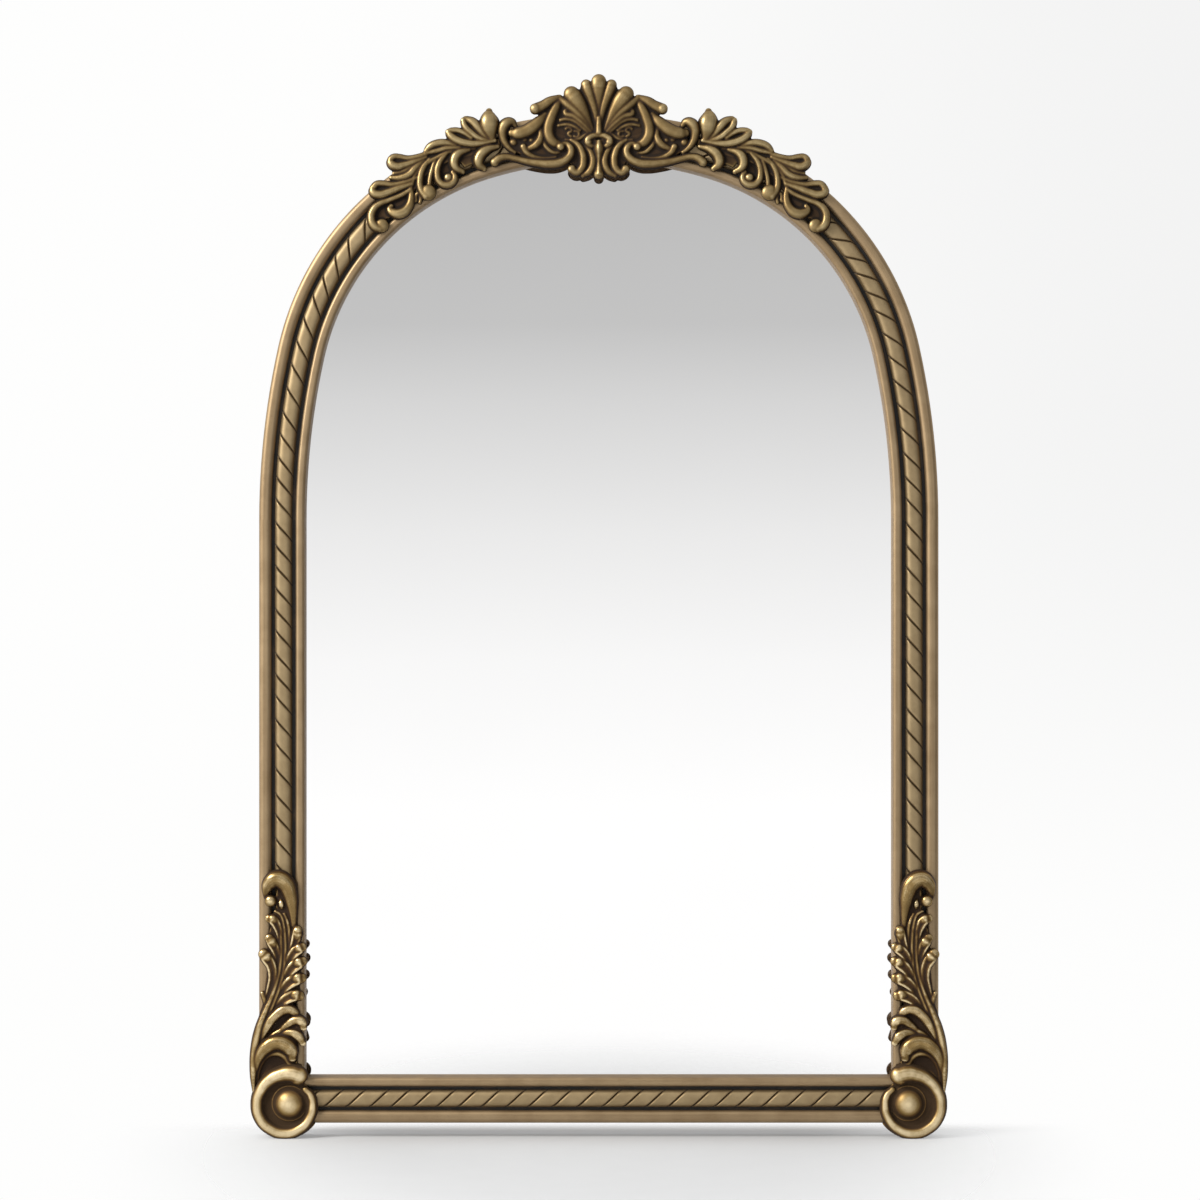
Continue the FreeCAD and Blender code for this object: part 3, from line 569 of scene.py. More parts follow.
@dataclass
class Layout:
    """The places that all pieces share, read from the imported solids, in metres."""

    crown_share: float = 1.258
    shoulder_share: float = 0.831
    haunch_share: float = 2.564
    crown_turn: float = math.radians(17.43)
    crown_px: Spot = (599.0, 157.7)
    corner_px: Spot = (304.5, 1077.8)
    face_px: float = 45.7
    half_width: float = field(init=False)
    face: float = field(init=False)
    back: float = field(init=False)
    seat: float = field(init=False)
    sill: float = field(init=False)
    rail_bottom: float = field(init=False)
    spring: float = field(init=False)
    crown: float = field(init=False)
    scale: float = field(init=False)
    arcs: tuple[Arc, ...] = field(init=False)
    photo_arcs: tuple[Arc, ...] = field(init=False)

    def __post_init__(self) -> None:
        """Reads the solids' boxes and works out the arcs of the head."""
        stile_low, stile_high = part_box("left_stile")
        rail_low, rail_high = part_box("bottom_rail")
        self.half_width = -stile_high.x
        self.face = stile_high.x - stile_low.x
        self.back = stile_high.y
        self.seat = stile_low.y
        self.sill = rail_high.z
        self.rail_bottom = rail_low.z
        self.spring = stile_high.z
        self.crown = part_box("left_arch")[1].z - self.face
        self.scale = self.face / self.face_px
        self.arcs = self.five_centred(self.half_width, self.crown)
        self.photo_arcs = self.five_centred(self.crown_px[0] - self.corner_px[0], 0.0)

    def five_centred(self, half_span: float, crown: float) -> tuple[Arc, Arc, Arc]:
        """The three arcs of half a five-centred head.

        Args:
            half_span: Half the width of the opening.
            crown: Height of the top of the opening.

        Returns:
            The crown, shoulder and haunch arcs.
        """
        top, side, low = (half_span * share for share in
                          (self.crown_share, self.shoulder_share, self.haunch_share))
        shoulder_x = (top - side) * math.sin(self.crown_turn)
        shoulder_z = crown - top + (top - side) * math.cos(self.crown_turn)
        turn = math.asin((half_span - low - shoulder_x) / (side - low))
        haunch_x = shoulder_x + (side - low) * math.sin(turn)
        haunch_z = shoulder_z + (side - low) * math.cos(turn)
        return (Arc(0.0, crown - top, top, 0.0, self.crown_turn),
                Arc(shoulder_x, shoulder_z, side, self.crown_turn, turn),
                Arc(haunch_x, haunch_z, low, turn, QUARTER))

    def corner(self, x_px: float, y_px: float) -> Spot:
        """A photograph pixel measured from the lower left sight corner."""
        return (-self.half_width + (x_px - self.corner_px[0]) * self.scale,
                self.sill + (self.corner_px[1] - y_px) * self.scale)

    def arch(self, x_px: float, y_px: float) -> Spot:
        """A photograph pixel carried to the arch by its length from the crown and its offset.

        Args:
            x_px: Pixel column, on the left half.
            y_px: Pixel row.

        Returns:
            The x and z of the spot.
        """
        along = 0.0
        for arc in self.photo_arcs:
            left = self.crown_px[0] - x_px - arc.x
            up = self.crown_px[1] - y_px - arc.z
            turn = math.atan2(left, up)
            if turn <= arc.end:
                out = (math.hypot(left, up) - arc.radius) * self.scale
                rest = (along + arc.radius * (turn - arc.start)) * self.scale
                return self.from_crown(rest, 0.0, out)
            along += arc.radius * (arc.end - arc.start)
        raise ValueError("the pixel is below the spring of the arch")

    def from_crown(self, along: float, line: float, out: float) -> Spot:
        """A point of the left half of the arch.

        Args:
            along: Length from the crown, measured on a line.
            line: Offset of that line from the sight edge.
            out: Offset of the point from the sight edge.

        Returns:
            The x and z of the point.
        """
        for arc in self.arcs:
            length = (arc.radius + line) * (arc.end - arc.start)
            if along <= length or arc is self.arcs[-1]:
                return arc.point(arc.start + along / (arc.radius + line), out)
            along -= length
        raise ValueError("no arcs")

    def arch_length(self, line: float) -> float:
        """The length of half the arch on a line outside the sight edge."""
        return sum((arc.radius + line) * (arc.end - arc.start) for arc in self.arcs)

    def measure(self, x: np.ndarray, z: np.ndarray) -> tuple[np.ndarray, np.ndarray]:
        """How far points of the arch lie from the crown and from the sight edge.

        Args:
            x: Places across; both halves are measured alike.
            z: Heights.

        Returns:
            Length from the crown and offset outwards.
        """
        along, out, start = np.zeros_like(x), np.zeros_like(x), 0.0
        done = np.zeros(x.shape, bool)
        for arc in self.arcs:
            turn = np.arctan2(np.abs(x) - arc.x, z - arc.z)
            here = ~done & ((turn <= arc.end) | (arc is self.arcs[-1]))
            along[here] = start + arc.radius * (turn[here] - arc.start)
            out[here] = np.hypot(np.abs(x) - arc.x, z - arc.z)[here] - arc.radius
            start += arc.radius * (arc.end - arc.start)
            done |= here
        return along, out


class Bench:
    """The hand tools that all sub-assemblies use on meshes."""

    @staticmethod
    def clear() -> None:
        """Leaves nothing selected, in object mode."""
        if bpy.context.object and bpy.context.object.mode != "OBJECT":
            bpy.ops.object.mode_set(mode="OBJECT")
        bpy.ops.object.select_all(action="DESELECT")

    @staticmethod
    def take(*pieces: bpy.types.Object) -> bpy.types.Object:
        """Selects pieces alone, the first one active.

        Args:
            pieces: The pieces.

        Returns:
            The first piece.
        """
        Bench.clear()
        for piece in pieces:
            piece.select_set(True)
        bpy.context.view_layer.objects.active = pieces[0]
        return pieces[0]

    @staticmethod
    def edit(piece: bpy.types.Object) -> None:
        """Opens a piece in edit mode with all of it selected.

        Args:
            piece: The piece.
        """
        Bench.take(piece)
        bpy.ops.object.mode_set(mode="EDIT")
        bpy.ops.mesh.select_all(action="SELECT")

    @staticmethod
    def close(smooth: float | None = None) -> None:
        """Merges doubles, fills the ends, turns faces outwards and leaves edit mode.

        Args:
            smooth: Angle in degrees below which edges are shaded smooth, if any.
        """
        bpy.ops.mesh.select_all(action="SELECT")
        bpy.ops.mesh.remove_doubles(threshold=MERGE)
        bpy.ops.mesh.fill_holes(sides=0)
        bpy.ops.mesh.select_all(action="SELECT")
        bpy.ops.mesh.normals_make_consistent(inside=False)
        bpy.ops.object.mode_set(mode="OBJECT")
        if smooth is not None:
            Bench.smooth(smooth)

    @staticmethod
    def slice(point: Vector, normal: Vector) -> None:
        """Cuts the open piece by a plane, drops what lies along the normal, and fills."""
        bpy.ops.mesh.select_all(action="SELECT")
        bpy.ops.mesh.bisect(plane_co=point, plane_no=normal, use_fill=True, clear_outer=True)

    @staticmethod
    def cut(piece: bpy.types.Object, point: Vector, normal: Vector) -> None:
        """Slices a whole piece, from object mode and back to it.

        Args:
            piece: The piece.
            point: A point of the plane.
            normal: The way to the part that is dropped.
        """
        Bench.edit(piece)
        Bench.slice(point, normal)
        bpy.ops.object.mode_set(mode="OBJECT")

    @staticmethod
    def smooth(angle: float) -> None:
        """Shades the active piece smooth where its edges turn less than an angle in degrees."""
        bpy.ops.object.shade_smooth_by_angle(angle=math.radians(angle))

    @staticmethod
    def join(pieces: Sequence[bpy.types.Object], name: str) -> bpy.types.Object:
        """Joins pieces into one named piece.

        Args:
            pieces: The pieces; the first one takes in the others.
            name: Name of the whole.

        Returns:
            The whole.
        """
        whole = Bench.take(*pieces)
        if len(pieces) > 1:
            bpy.ops.object.join()
        whole.name = whole.data.name = name
        return whole

    @staticmethod
    def apply(piece: bpy.types.Object, kind: str, **settings: object) -> None:
        """Adds a modifier and applies it.

        Args:
            piece: The piece.
            kind: Type of the modifier.
            settings: Its settings.
        """
        Bench.take(piece)
        modifier = piece.modifiers.new(kind.title(), kind)
        for name, value in settings.items():
            setattr(modifier, name, value)
        bpy.ops.object.modifier_apply(modifier=modifier.name)

    @staticmethod
    def bevel(piece: bpy.types.Object, width: float, segments: int) -> None:
        """Rounds the sharp edges of a piece."""
        Bench.apply(piece, "BEVEL", width=width, segments=segments, limit_method="ANGLE")

    @staticmethod
    def settle(piece: bpy.types.Object) -> None:
        """Puts a piece's turn, scale and place into its mesh."""
        Bench.take(piece)
        bpy.ops.object.transform_apply(location=True, rotation=True, scale=True)

    @staticmethod
    def copy(piece: bpy.types.Object, name: str, move: Matrix) -> bpy.types.Object:
        """A copy with its own mesh, moved or mirrored.

        Args:
            piece: The piece to copy.
            name: Name of the copy.
            move: Where the copy goes.

        Returns:
            The copy.
        """
        other = piece.copy()
        other.data = piece.data.copy()
        other.name = other.data.name = name
        bpy.context.collection.objects.link(other)
        other.data.transform(move)
        if move.determinant() < 0:
            other.data.flip_normals()
        return other

    @staticmethod
    def fan(centre: Spot, radius: float, start: float, end: float, steps: int) -> list[Spot]:
        """Points on an arc.

        Args:
            centre: Its centre.
            radius: Its radius.
            start: Angle of the first point.
            end: Angle of the last point.
            steps: Number of steps between them.

        Returns:
            The points.
        """
        turns = [start + (end - start) * step / steps for step in range(steps + 1)]
        return [(centre[0] + radius * math.cos(turn), centre[1] + radius * math.sin(turn)) for turn in turns]

    @staticmethod
    def ring(name: str, points: Sequence[Vector]) -> bpy.types.Object:
        """A closed outline: a circle whose vertices are put on the points.

        Args:
            name: Name of the piece.
            points: The points, once round.

        Returns:
            The outline as a mesh.
        """
        Bench.clear()
        bpy.ops.mesh.primitive_circle_add(vertices=len(points), fill_type="NOTHING")
        piece = bpy.context.object
        piece.name = piece.data.name = name
        piece.data.vertices.foreach_set("co", np.ravel([tuple(point) for point in points]))
        return piece

    @staticmethod
    def outline(points: Sequence[Triple]) -> bpy.types.Object:
        """A closed curve of straight lengths through points.

        Args:
            points: The points, once round.

        Returns:
            The curve.
        """
        Bench.clear()
        bpy.ops.curve.primitive_nurbs_path_add()
        curve = bpy.context.object
        curve.data.splines.clear()
        line = curve.data.splines.new("POLY")
        line.points.add(len(points) - 1)
        for point, place in zip(line.points, points):
            point.co = (*place, 1.0)
        line.use_cyclic_u = True
        return curve

    @staticmethod
    def rod(sides: int, radius: float, depth: float, place: Sequence[float],
            turn: Triple = (0.0, 0.0, 0.0), ends: str = "NGON") -> bpy.types.Object:
        """A plain cylinder.

        Args:
            sides: Number of its sides.
            radius: Its radius.
            depth: Its length.
            place: Its middle.
            turn: Its turn from the upright.
            ends: How its ends are filled.

        Returns:
            The cylinder.
        """
        Bench.clear()
        bpy.ops.mesh.primitive_cylinder_add(vertices=sides, radius=radius, depth=depth, location=place,
                                            rotation=turn, end_fill_type=ends)
        rod = bpy.context.object
        Bench.settle(rod)
        return rod

    @staticmethod
    def mark(piece: bpy.types.Object, name: str, values: np.ndarray) -> None:
        """Writes one number per vertex for a finish to read."""
        layer = piece.data.attributes.new(name, "FLOAT", "POINT")
        layer.data.foreach_set("value", values.astype(np.float32))

    @staticmethod
    def places(piece: bpy.types.Object) -> np.ndarray:
        """The places of all vertices, one row each.

        Args:
            piece: The piece.

        Returns:
            An array of x, y and z.
        """
        rows = np.empty(len(piece.data.vertices) * 3, np.float32)
        piece.data.vertices.foreach_get("co", rows)
        return rows.reshape(-1, 3).astype(float)


def dress(piece: bpy.types.Object, finish: Finish, body: str = "frame",
          nodes: Sequence[str] = ()) -> None:
    """Gives a new piece its finish, its body and the solids it stands for.

    Args:
        piece: The piece.
        finish: Its finish.
        body: The body it moves with.
        nodes: The solids that it replaces.
    """
    piece.data.materials.clear()
    piece.data.materials.append(finish.material())
    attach(piece, body)
    if nodes:
        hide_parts(*nodes)
    LOG.info("%s: %d faces", piece.name, len(piece.data.polygons))


def dress_node(name: str, finish: Finish) -> None:
    """Gives a solid that stays its finish.

    Args:
        name: Name of the solid.
        finish: Its finish.
    """
    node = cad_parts[name]
    node.data.materials.clear()
    node.data.materials.append(finish.material())
    LOG.info("%s: packed solid", name)


@dataclass
class Moulding:
    """The five lengths of the frame: two beads beside a sunk channel."""

    layout: Layout
    depth: float = 24.0 * MM
    channel: float = 18.0 * MM
    glass_seat: float = 11.0 * MM
    glass_rebate: float = 9.0 * MM
    board_rebate: float = 20.0 * MM
    board_depth: float = 3.0 * MM
    inner_bead: float = 7.9 * MM
    inner_round: float = 2.6 * MM
    outer_start: float = 29.0 * MM
    outer_round: float = 4.0 * MM
    crowning: float = 0.3 * MM
    edge: float = 0.5 * MM
    round_steps: int = 6
    arc_steps: tuple[int, int, int] = (14, 40, 12)
    smooth_angle: float = 35.0
    bead_relief: float = 0.72
    slack: float = 0.1 * MM

    def bead(self, start: float, end: float, radius: float) -> list[Spot]:
        """A bead from one groove wall to the next.

        Args:
            start: Offset of its inner wall.
            end: Offset of its outer wall.
            radius: Round of both shoulders.

        Returns:
            Offset and depth of each point over the top.
        """
        low = self.depth - self.crowning - radius
        points = []
        for centre, first in ((start + radius, math.pi), (end - radius, QUARTER)):
            for out, top in Bench.fan((centre, low), radius, first, first - QUARTER, self.round_steps):
                lift = self.crowning * math.sin(math.pi * (out - start) / (end - start))
                points.append((out, top + lift))
        return points

    def section(self) -> list[Spot]:
        """Offset and depth of the whole section, once round.

        Returns:
            The points of the section.
        """
        face = self.layout.face
        steps = [(self.glass_rebate, self.glass_seat), (0.0, self.glass_seat)]
        steps += self.bead(0.0, self.inner_bead, self.inner_round)
        steps += [(self.inner_bead, self.channel), (self.outer_start, self.channel)]
        steps += self.bead(self.outer_start, face, self.outer_round)
        steps += [(face, self.edge), (face - self.edge, 0.0), (self.board_rebate, 0.0)]
        return steps + [(self.board_rebate, self.board_depth), (self.glass_rebate, self.board_depth)]

    def straight(self, name: str, put: Callable[[float, float], Vector], run: Vector,
                 cuts: Sequence[tuple[float, Vector]]) -> bpy.types.Object:
        """A straight length, mitred.

        Args:
            name: Name of the piece.
            put: Where a section point goes.
            run: Extrusion from there.
            cuts: Sight corner across, and normal, of each mitre.

        Returns:
            The length.
        """
        piece = Bench.ring(name, [put(out, depth) for out, depth in self.section()])
        Bench.edit(piece)
        bpy.ops.mesh.extrude_region_move(TRANSFORM_OT_translate={"value": run})
        bpy.ops.mesh.select_all(action="SELECT")
        bpy.ops.mesh.fill_holes(sides=0)
        for corner, normal in cuts:
            Bench.slice(Vector((corner, 0.0, self.layout.sill)), normal)
        Bench.close(self.smooth_angle)
        return piece

    def stile(self) -> bpy.types.Object:
        """The left straight side.

        Returns:
            The side.
        """
        place = self.layout

        def put(out: float, depth: float) -> Vector:
            """A section point at the foot of the side."""
            return Vector((-place.half_width - out, place.back - depth, place.rail_bottom))

        return self.straight("left_side", put, Vector((0.0, 0.0, place.spring - place.rail_bottom)),
                             ((-place.half_width, Vector((1.0, 0.0, -1.0))),))

    def rail(self) -> bpy.types.Object:
        """The bottom length.

        Returns:
            The rail.
        """
        place = self.layout
        end = place.half_width + place.face

        def put(out: float, depth: float) -> Vector:
            """A section point at the left end of the rail."""
            return Vector((-end, place.back - depth, place.sill - out))

        return self.straight("bottom_length", put, Vector((2.0 * end, 0.0, 0.0)),
                             ((-place.half_width, Vector((-1.0, 0.0, 1.0))),
                              (place.half_width, Vector((1.0, 0.0, 1.0)))))

    def arch(self) -> bpy.types.Object:
        """The left half of the head, spun about its three centres.

        Returns:
            The half.
        """
        place = self.layout
        points = []
        for out, depth in self.section():
            x, z = place.arcs[-1].point(QUARTER, out)
            points.append(Vector((x, place.back - depth, z)))
        piece = Bench.ring("left_head", points)
        Bench.edit(piece)
        for arc, steps in zip(reversed(place.arcs), reversed(self.arc_steps)):
            bpy.ops.mesh.spin(steps=steps, angle=arc.start - arc.end, center=(-arc.x, 0.0, arc.z),
                              axis=(0.0, 1.0, 0.0))
        Bench.close(self.smooth_angle)
        return piece

    def mark(self, piece: bpy.types.Object, along: np.ndarray, across: np.ndarray) -> None:
        """Writes where each vertex lies, and how high it stands in the channel.

        Args:
            piece: One length.
            along: Place along the length.
            across: Offset from the sight edge.
        """
        rise = self.layout.seat + self.depth - self.channel - Bench.places(piece)[:, 1]
        rise = np.clip(rise / (self.depth - self.channel), 0.0, 1.0)
        sunk = (across > self.inner_bead - self.slack) & (across < self.outer_start + self.slack)
        beads = self.bead_relief + (1.0 - self.bead_relief) * rise
        Bench.mark(piece, "along", along)
        Bench.mark(piece, "across", across)
        # relief drives the finish's painted shade down into the channel and its painted highlight on the
        # beads
        Bench.mark(piece, "relief", np.where(sunk, rise, beads))

    def build(self) -> None:
        """Builds, marks and dresses the five lengths."""
        place = self.layout
        finish = Gilding(back=place.back)
        stile, rail, arch = self.stile(), self.rail(), self.arch()
        x, _, z = Bench.places(stile).T
        self.mark(stile, z, -x - place.half_width)
        x, _, z = Bench.places(rail).T
        self.mark(rail, x, place.sill - z)
        x, _, z = Bench.places(arch).T
        self.mark(arch, *place.measure(x, z))
        other_stile = Bench.copy(stile, "right_side", MIRROR)
        other_arch = Bench.copy(arch, "right_head", MIRROR)
        pairs = ((stile, "left_stile"), (other_stile, "right_stile"), (arch, "left_arch"),
                 (other_arch, "right_arch"), (rail, "bottom_rail"))
        for piece, node in pairs:
            dress(piece, finish, nodes=(node,))


@dataclass
class RibbonStrip:
    """The strip in the channel, cut across on the slant so that it looks twisted."""

    layout: Layout
    start: float = 11.2 * MM
    width: float = 15.0 * MM
    floor: float = 18.0 * MM
    rise: float = 5.6 * MM
    wall: float = 1.3 * MM
    pitch: float = 20.2 * MM
    jitter: float = 2.1 * MM
    slant: float = 1.06
    swirl: float = 0.16
    swirl_power: int = 5
    cut_reach: float = 1.75 * MM
    cut_depth: float = 0.62
    cut_power: float = 1.4
    round_powers: Pair = (3.6, 0.75)
    tuck: float = 0.2 * MM
    spare: float = 3.0
    smooth_angle: float = 40.0
    first_seed: int = 11
    across_steps: int = 12
    lobe_shares: tuple[float, ...] = (0.0, 0.018, 0.04, 0.065, 0.1, 0.17, 0.3, 0.5, 0.7, 0.83, 0.9,
                                      0.935, 0.96, 0.982)

    def stations(self, length: float, seed: int, joint: float) -> list[Pair]:
        """Where the rows of the strip stand, and how far each is from a cut.

        Args:
            length: Length of the strip.
            seed: Seed of the hand-cut unevenness.
            joint: The place of the joint in sight, which falls in the middle of a lobe.

        Returns:
            Place along the strip and distance from the nearest cut, for each row.
        """
        draw = random.Random(seed)
        place, rows, shift = -self.spare * self.pitch, [], 0.0
        while place < length + self.spare * self.pitch:
            step = self.pitch + draw.uniform(-self.jitter, self.jitter)
            rows += [(place + share * step, min(share, 1.0 - share) * step)
                     for share in self.lobe_shares]
            if place <= joint < place + step:
                shift = joint - place - step / 2
            place += step
        return [(along + shift, gap) for along, gap in rows]

    def strip(self, name: str, length: float, seed: int, joint: float,
              put: Place) -> bpy.types.Object:
        """One strip: a grid wrapped round into a closed bar.

        Args:
            name: Name of the piece.
            length: Length along the middle of the strip.
            seed: Seed of its unevenness.
            joint: Where along it the joint in sight is.
            put: Carries a length and an offset from the sight edge to x and z.

        Returns:
            The strip, longer than needed at both ends.
        """
        rows = self.stations(length, seed, joint)
        ring = self.across_steps + 2
        Bench.clear()
        bpy.ops.mesh.primitive_grid_add(x_subdivisions=ring, y_subdivisions=len(rows) - 1, size=1.0)
        piece = bpy.context.object
        piece.name = piece.data.name = name
        flat = Bench.places(piece)
        column = np.rint((flat[:, 0] + 0.5) * ring).astype(int) % ring
        row = np.rint((flat[:, 1] + 0.5) * (len(rows) - 1)).astype(int)
        spots, lobe = np.empty_like(flat), np.empty(len(flat))
        middle = self.start + self.width / 2
        for index, (c, r) in enumerate(zip(column, row)):
            along, gap = rows[r]
            share = 1.0 - 2.0 * min(c, self.across_steps) / self.across_steps
            lean = share + self.swirl * share ** self.swirl_power
            open_cut = max(0.0, 1.0 - gap / self.cut_reach) ** self.cut_power
            round_top = (1.0 - abs(share) ** self.round_powers[0]) ** self.round_powers[1]
            height = self.wall + (self.rise - self.wall) * round_top * (1.0 - self.cut_depth * open_cut)
            if c > self.across_steps:
                height = -self.tuck
            out = middle + share * self.width / 2
            x, z = put(along + lean * self.slant * self.width / 2, out)
            spots[index] = (x, self.layout.back - self.floor - height, z)
            # lobe falls to 0 at the cuts, where the finish paints shade
            lobe[index] = 1.0 - open_cut
        piece.data.vertices.foreach_set("co", spots.ravel().astype(np.float32))
        Bench.mark(piece, "lobe", lobe)
        return piece

    def trim(self, piece: bpy.types.Object, cuts: Sequence[tuple[Vector, Vector]]) -> None:
        """Closes a strip and cuts its ends to the joints.

        Args:
            piece: The strip.
            cuts: Point and normal of each cut.
        """
        Bench.edit(piece)
        bpy.ops.mesh.remove_doubles(threshold=MERGE)
        bpy.ops.mesh.fill_holes(sides=0)
        for point, normal in cuts:
            Bench.slice(point, normal)
        Bench.close(self.smooth_angle)

    def build(self) -> None:
        """Builds and dresses the five strips, all slanting the same way round."""
        place = self.layout
        line = self.start + self.width / 2
        side, head = place.spring - place.sill + line, place.arch_length(line)
        low = place.sill - line
        half = place.half_width + line
        left = Vector((-place.half_width, 0.0, place.sill))
        right = Vector((place.half_width, 0.0, place.sill))
        spring, crown = Vector((0.0, 0.0, place.spring)), Vector((0.0, 0.0, 0.0))
        up, across = Vector((0.0, 0.0, 1.0)), Vector((1.0, 0.0, 0.0))

        def head_left(along: float, out: float) -> Spot:
            """Up the left half of the head; straight on below the spring.

            Args:
                along: Length from the spring.
                out: Offset from the sight edge.

            Returns:
                The x and z of the spot.
            """
            if along < 0.0:
                return -place.half_width - out, place.spring + along
            if along > head:
                return along - head, place.crown + out
            return place.from_crown(head - along, line, out)

        def head_right(along: float, out: float) -> Spot:
            """Down the right half of the head."""
            x, z = head_left(head - along, out)
            return -x, z

        def side_left(along: float, out: float) -> Spot:
            """Up the left side."""
            return -place.half_width - out, low + along

        def side_right(along: float, out: float) -> Spot:
            """Down the right side."""
            return place.half_width + out, place.spring - along

        def bottom(along: float, out: float) -> Spot:
            """Along the rail, from right to left."""
            return half - along, place.sill - out

        plans = (
            ("ribbon_left_side", "rope_left_stile", side, side, side_left,
             ((spring, up), (left, Vector((1.0, 0.0, -1.0))))),
            ("ribbon_left_head", "rope_left_arch", head, 0.0, head_left,
             ((spring, -up), (crown, across))),
            ("ribbon_right_head", "rope_right_arch", head, head, head_right,
             ((spring, -up), (crown, -across))),
            ("ribbon_right_side", "rope_right_stile", side, 0.0, side_right,
             ((spring, up), (right, Vector((-1.0, 0.0, -1.0))))),
            ("ribbon_bottom", "rope_bottom", 2.0 * half, half, bottom,
             ((left, Vector((-1.0, 0.0, 1.0))), (right, Vector((1.0, 0.0, 1.0))))),
        )
        finish = RibbonGilding(seat=place.seat)
        for seed, (name, node, length, joint, put, cuts) in enumerate(plans, self.first_seed):
            piece = self.strip(name, length, seed, joint, put)
            self.trim(piece, cuts)
            dress(piece, finish, nodes=(node,))


class Form(Enum):
    """Sections of a carved stroke: place across, and rise, as shares of half its width."""

    ROUND = ((-1.2, -0.55), (-1.04, -0.15), (-0.94, 0.24), (-0.78, 0.52), (-0.54, 0.74), (-0.2, 0.85),
             (0.2, 0.85), (0.54, 0.74), (0.78, 0.52), (0.94, 0.24), (1.04, -0.15), (1.2, -0.55))
    BROAD = ((-1.14, -0.5), (-1.03, -0.12), (-0.93, 0.18), (-0.76, 0.4), (-0.5, 0.55), (-0.18, 0.61),
             (0.18, 0.61), (0.5, 0.55), (0.76, 0.4), (0.93, 0.18), (1.03, -0.12), (1.14, -0.5))
    DISH = ((-1.12, -0.5), (-1.02, -0.12), (-0.92, 0.14), (-0.78, 0.31), (-0.6, 0.32), (-0.36, 0.27),
            (-0.06, 0.25), (0.24, 0.31), (0.46, 0.43), (0.64, 0.51), (0.81, 0.45), (0.94, 0.2),
            (1.02, -0.12), (1.12, -0.5))
    KEEL = ((-1.0, 0.0), (-0.8, 0.5), (-0.4, 0.85), (0.05, 1.1), (0.45, 0.8), (0.8, 0.4), (1.0, 0.0))
    FLAT = ((-1.0, 0.0), (1.0, 0.0))

    @property
    def crown(self) -> float:
        """The highest rise of the section."""
        return max(rise for _, rise in self.value)

    def __call__(self, lift: float, *stations: Station) -> "Stroke":
        """A stroke with this section."""
        return Stroke(self, lift, stations)


class Stroke(NamedTuple):
    """A carved stroke: its section, the height of its shoulders in mm, and its stations.

    A station is a pixel column and row of the photograph, and a width in pixels.
    """

    form: Form
    lift: float
    stations: tuple[Station, ...]


class Knob(NamedTuple):
    """A rounded end: pixel place and radius, height of its widest line in mm, and how domed it is."""

    x: float
    y: float
    radius: float
    lift: float
    dome: float = 0.72


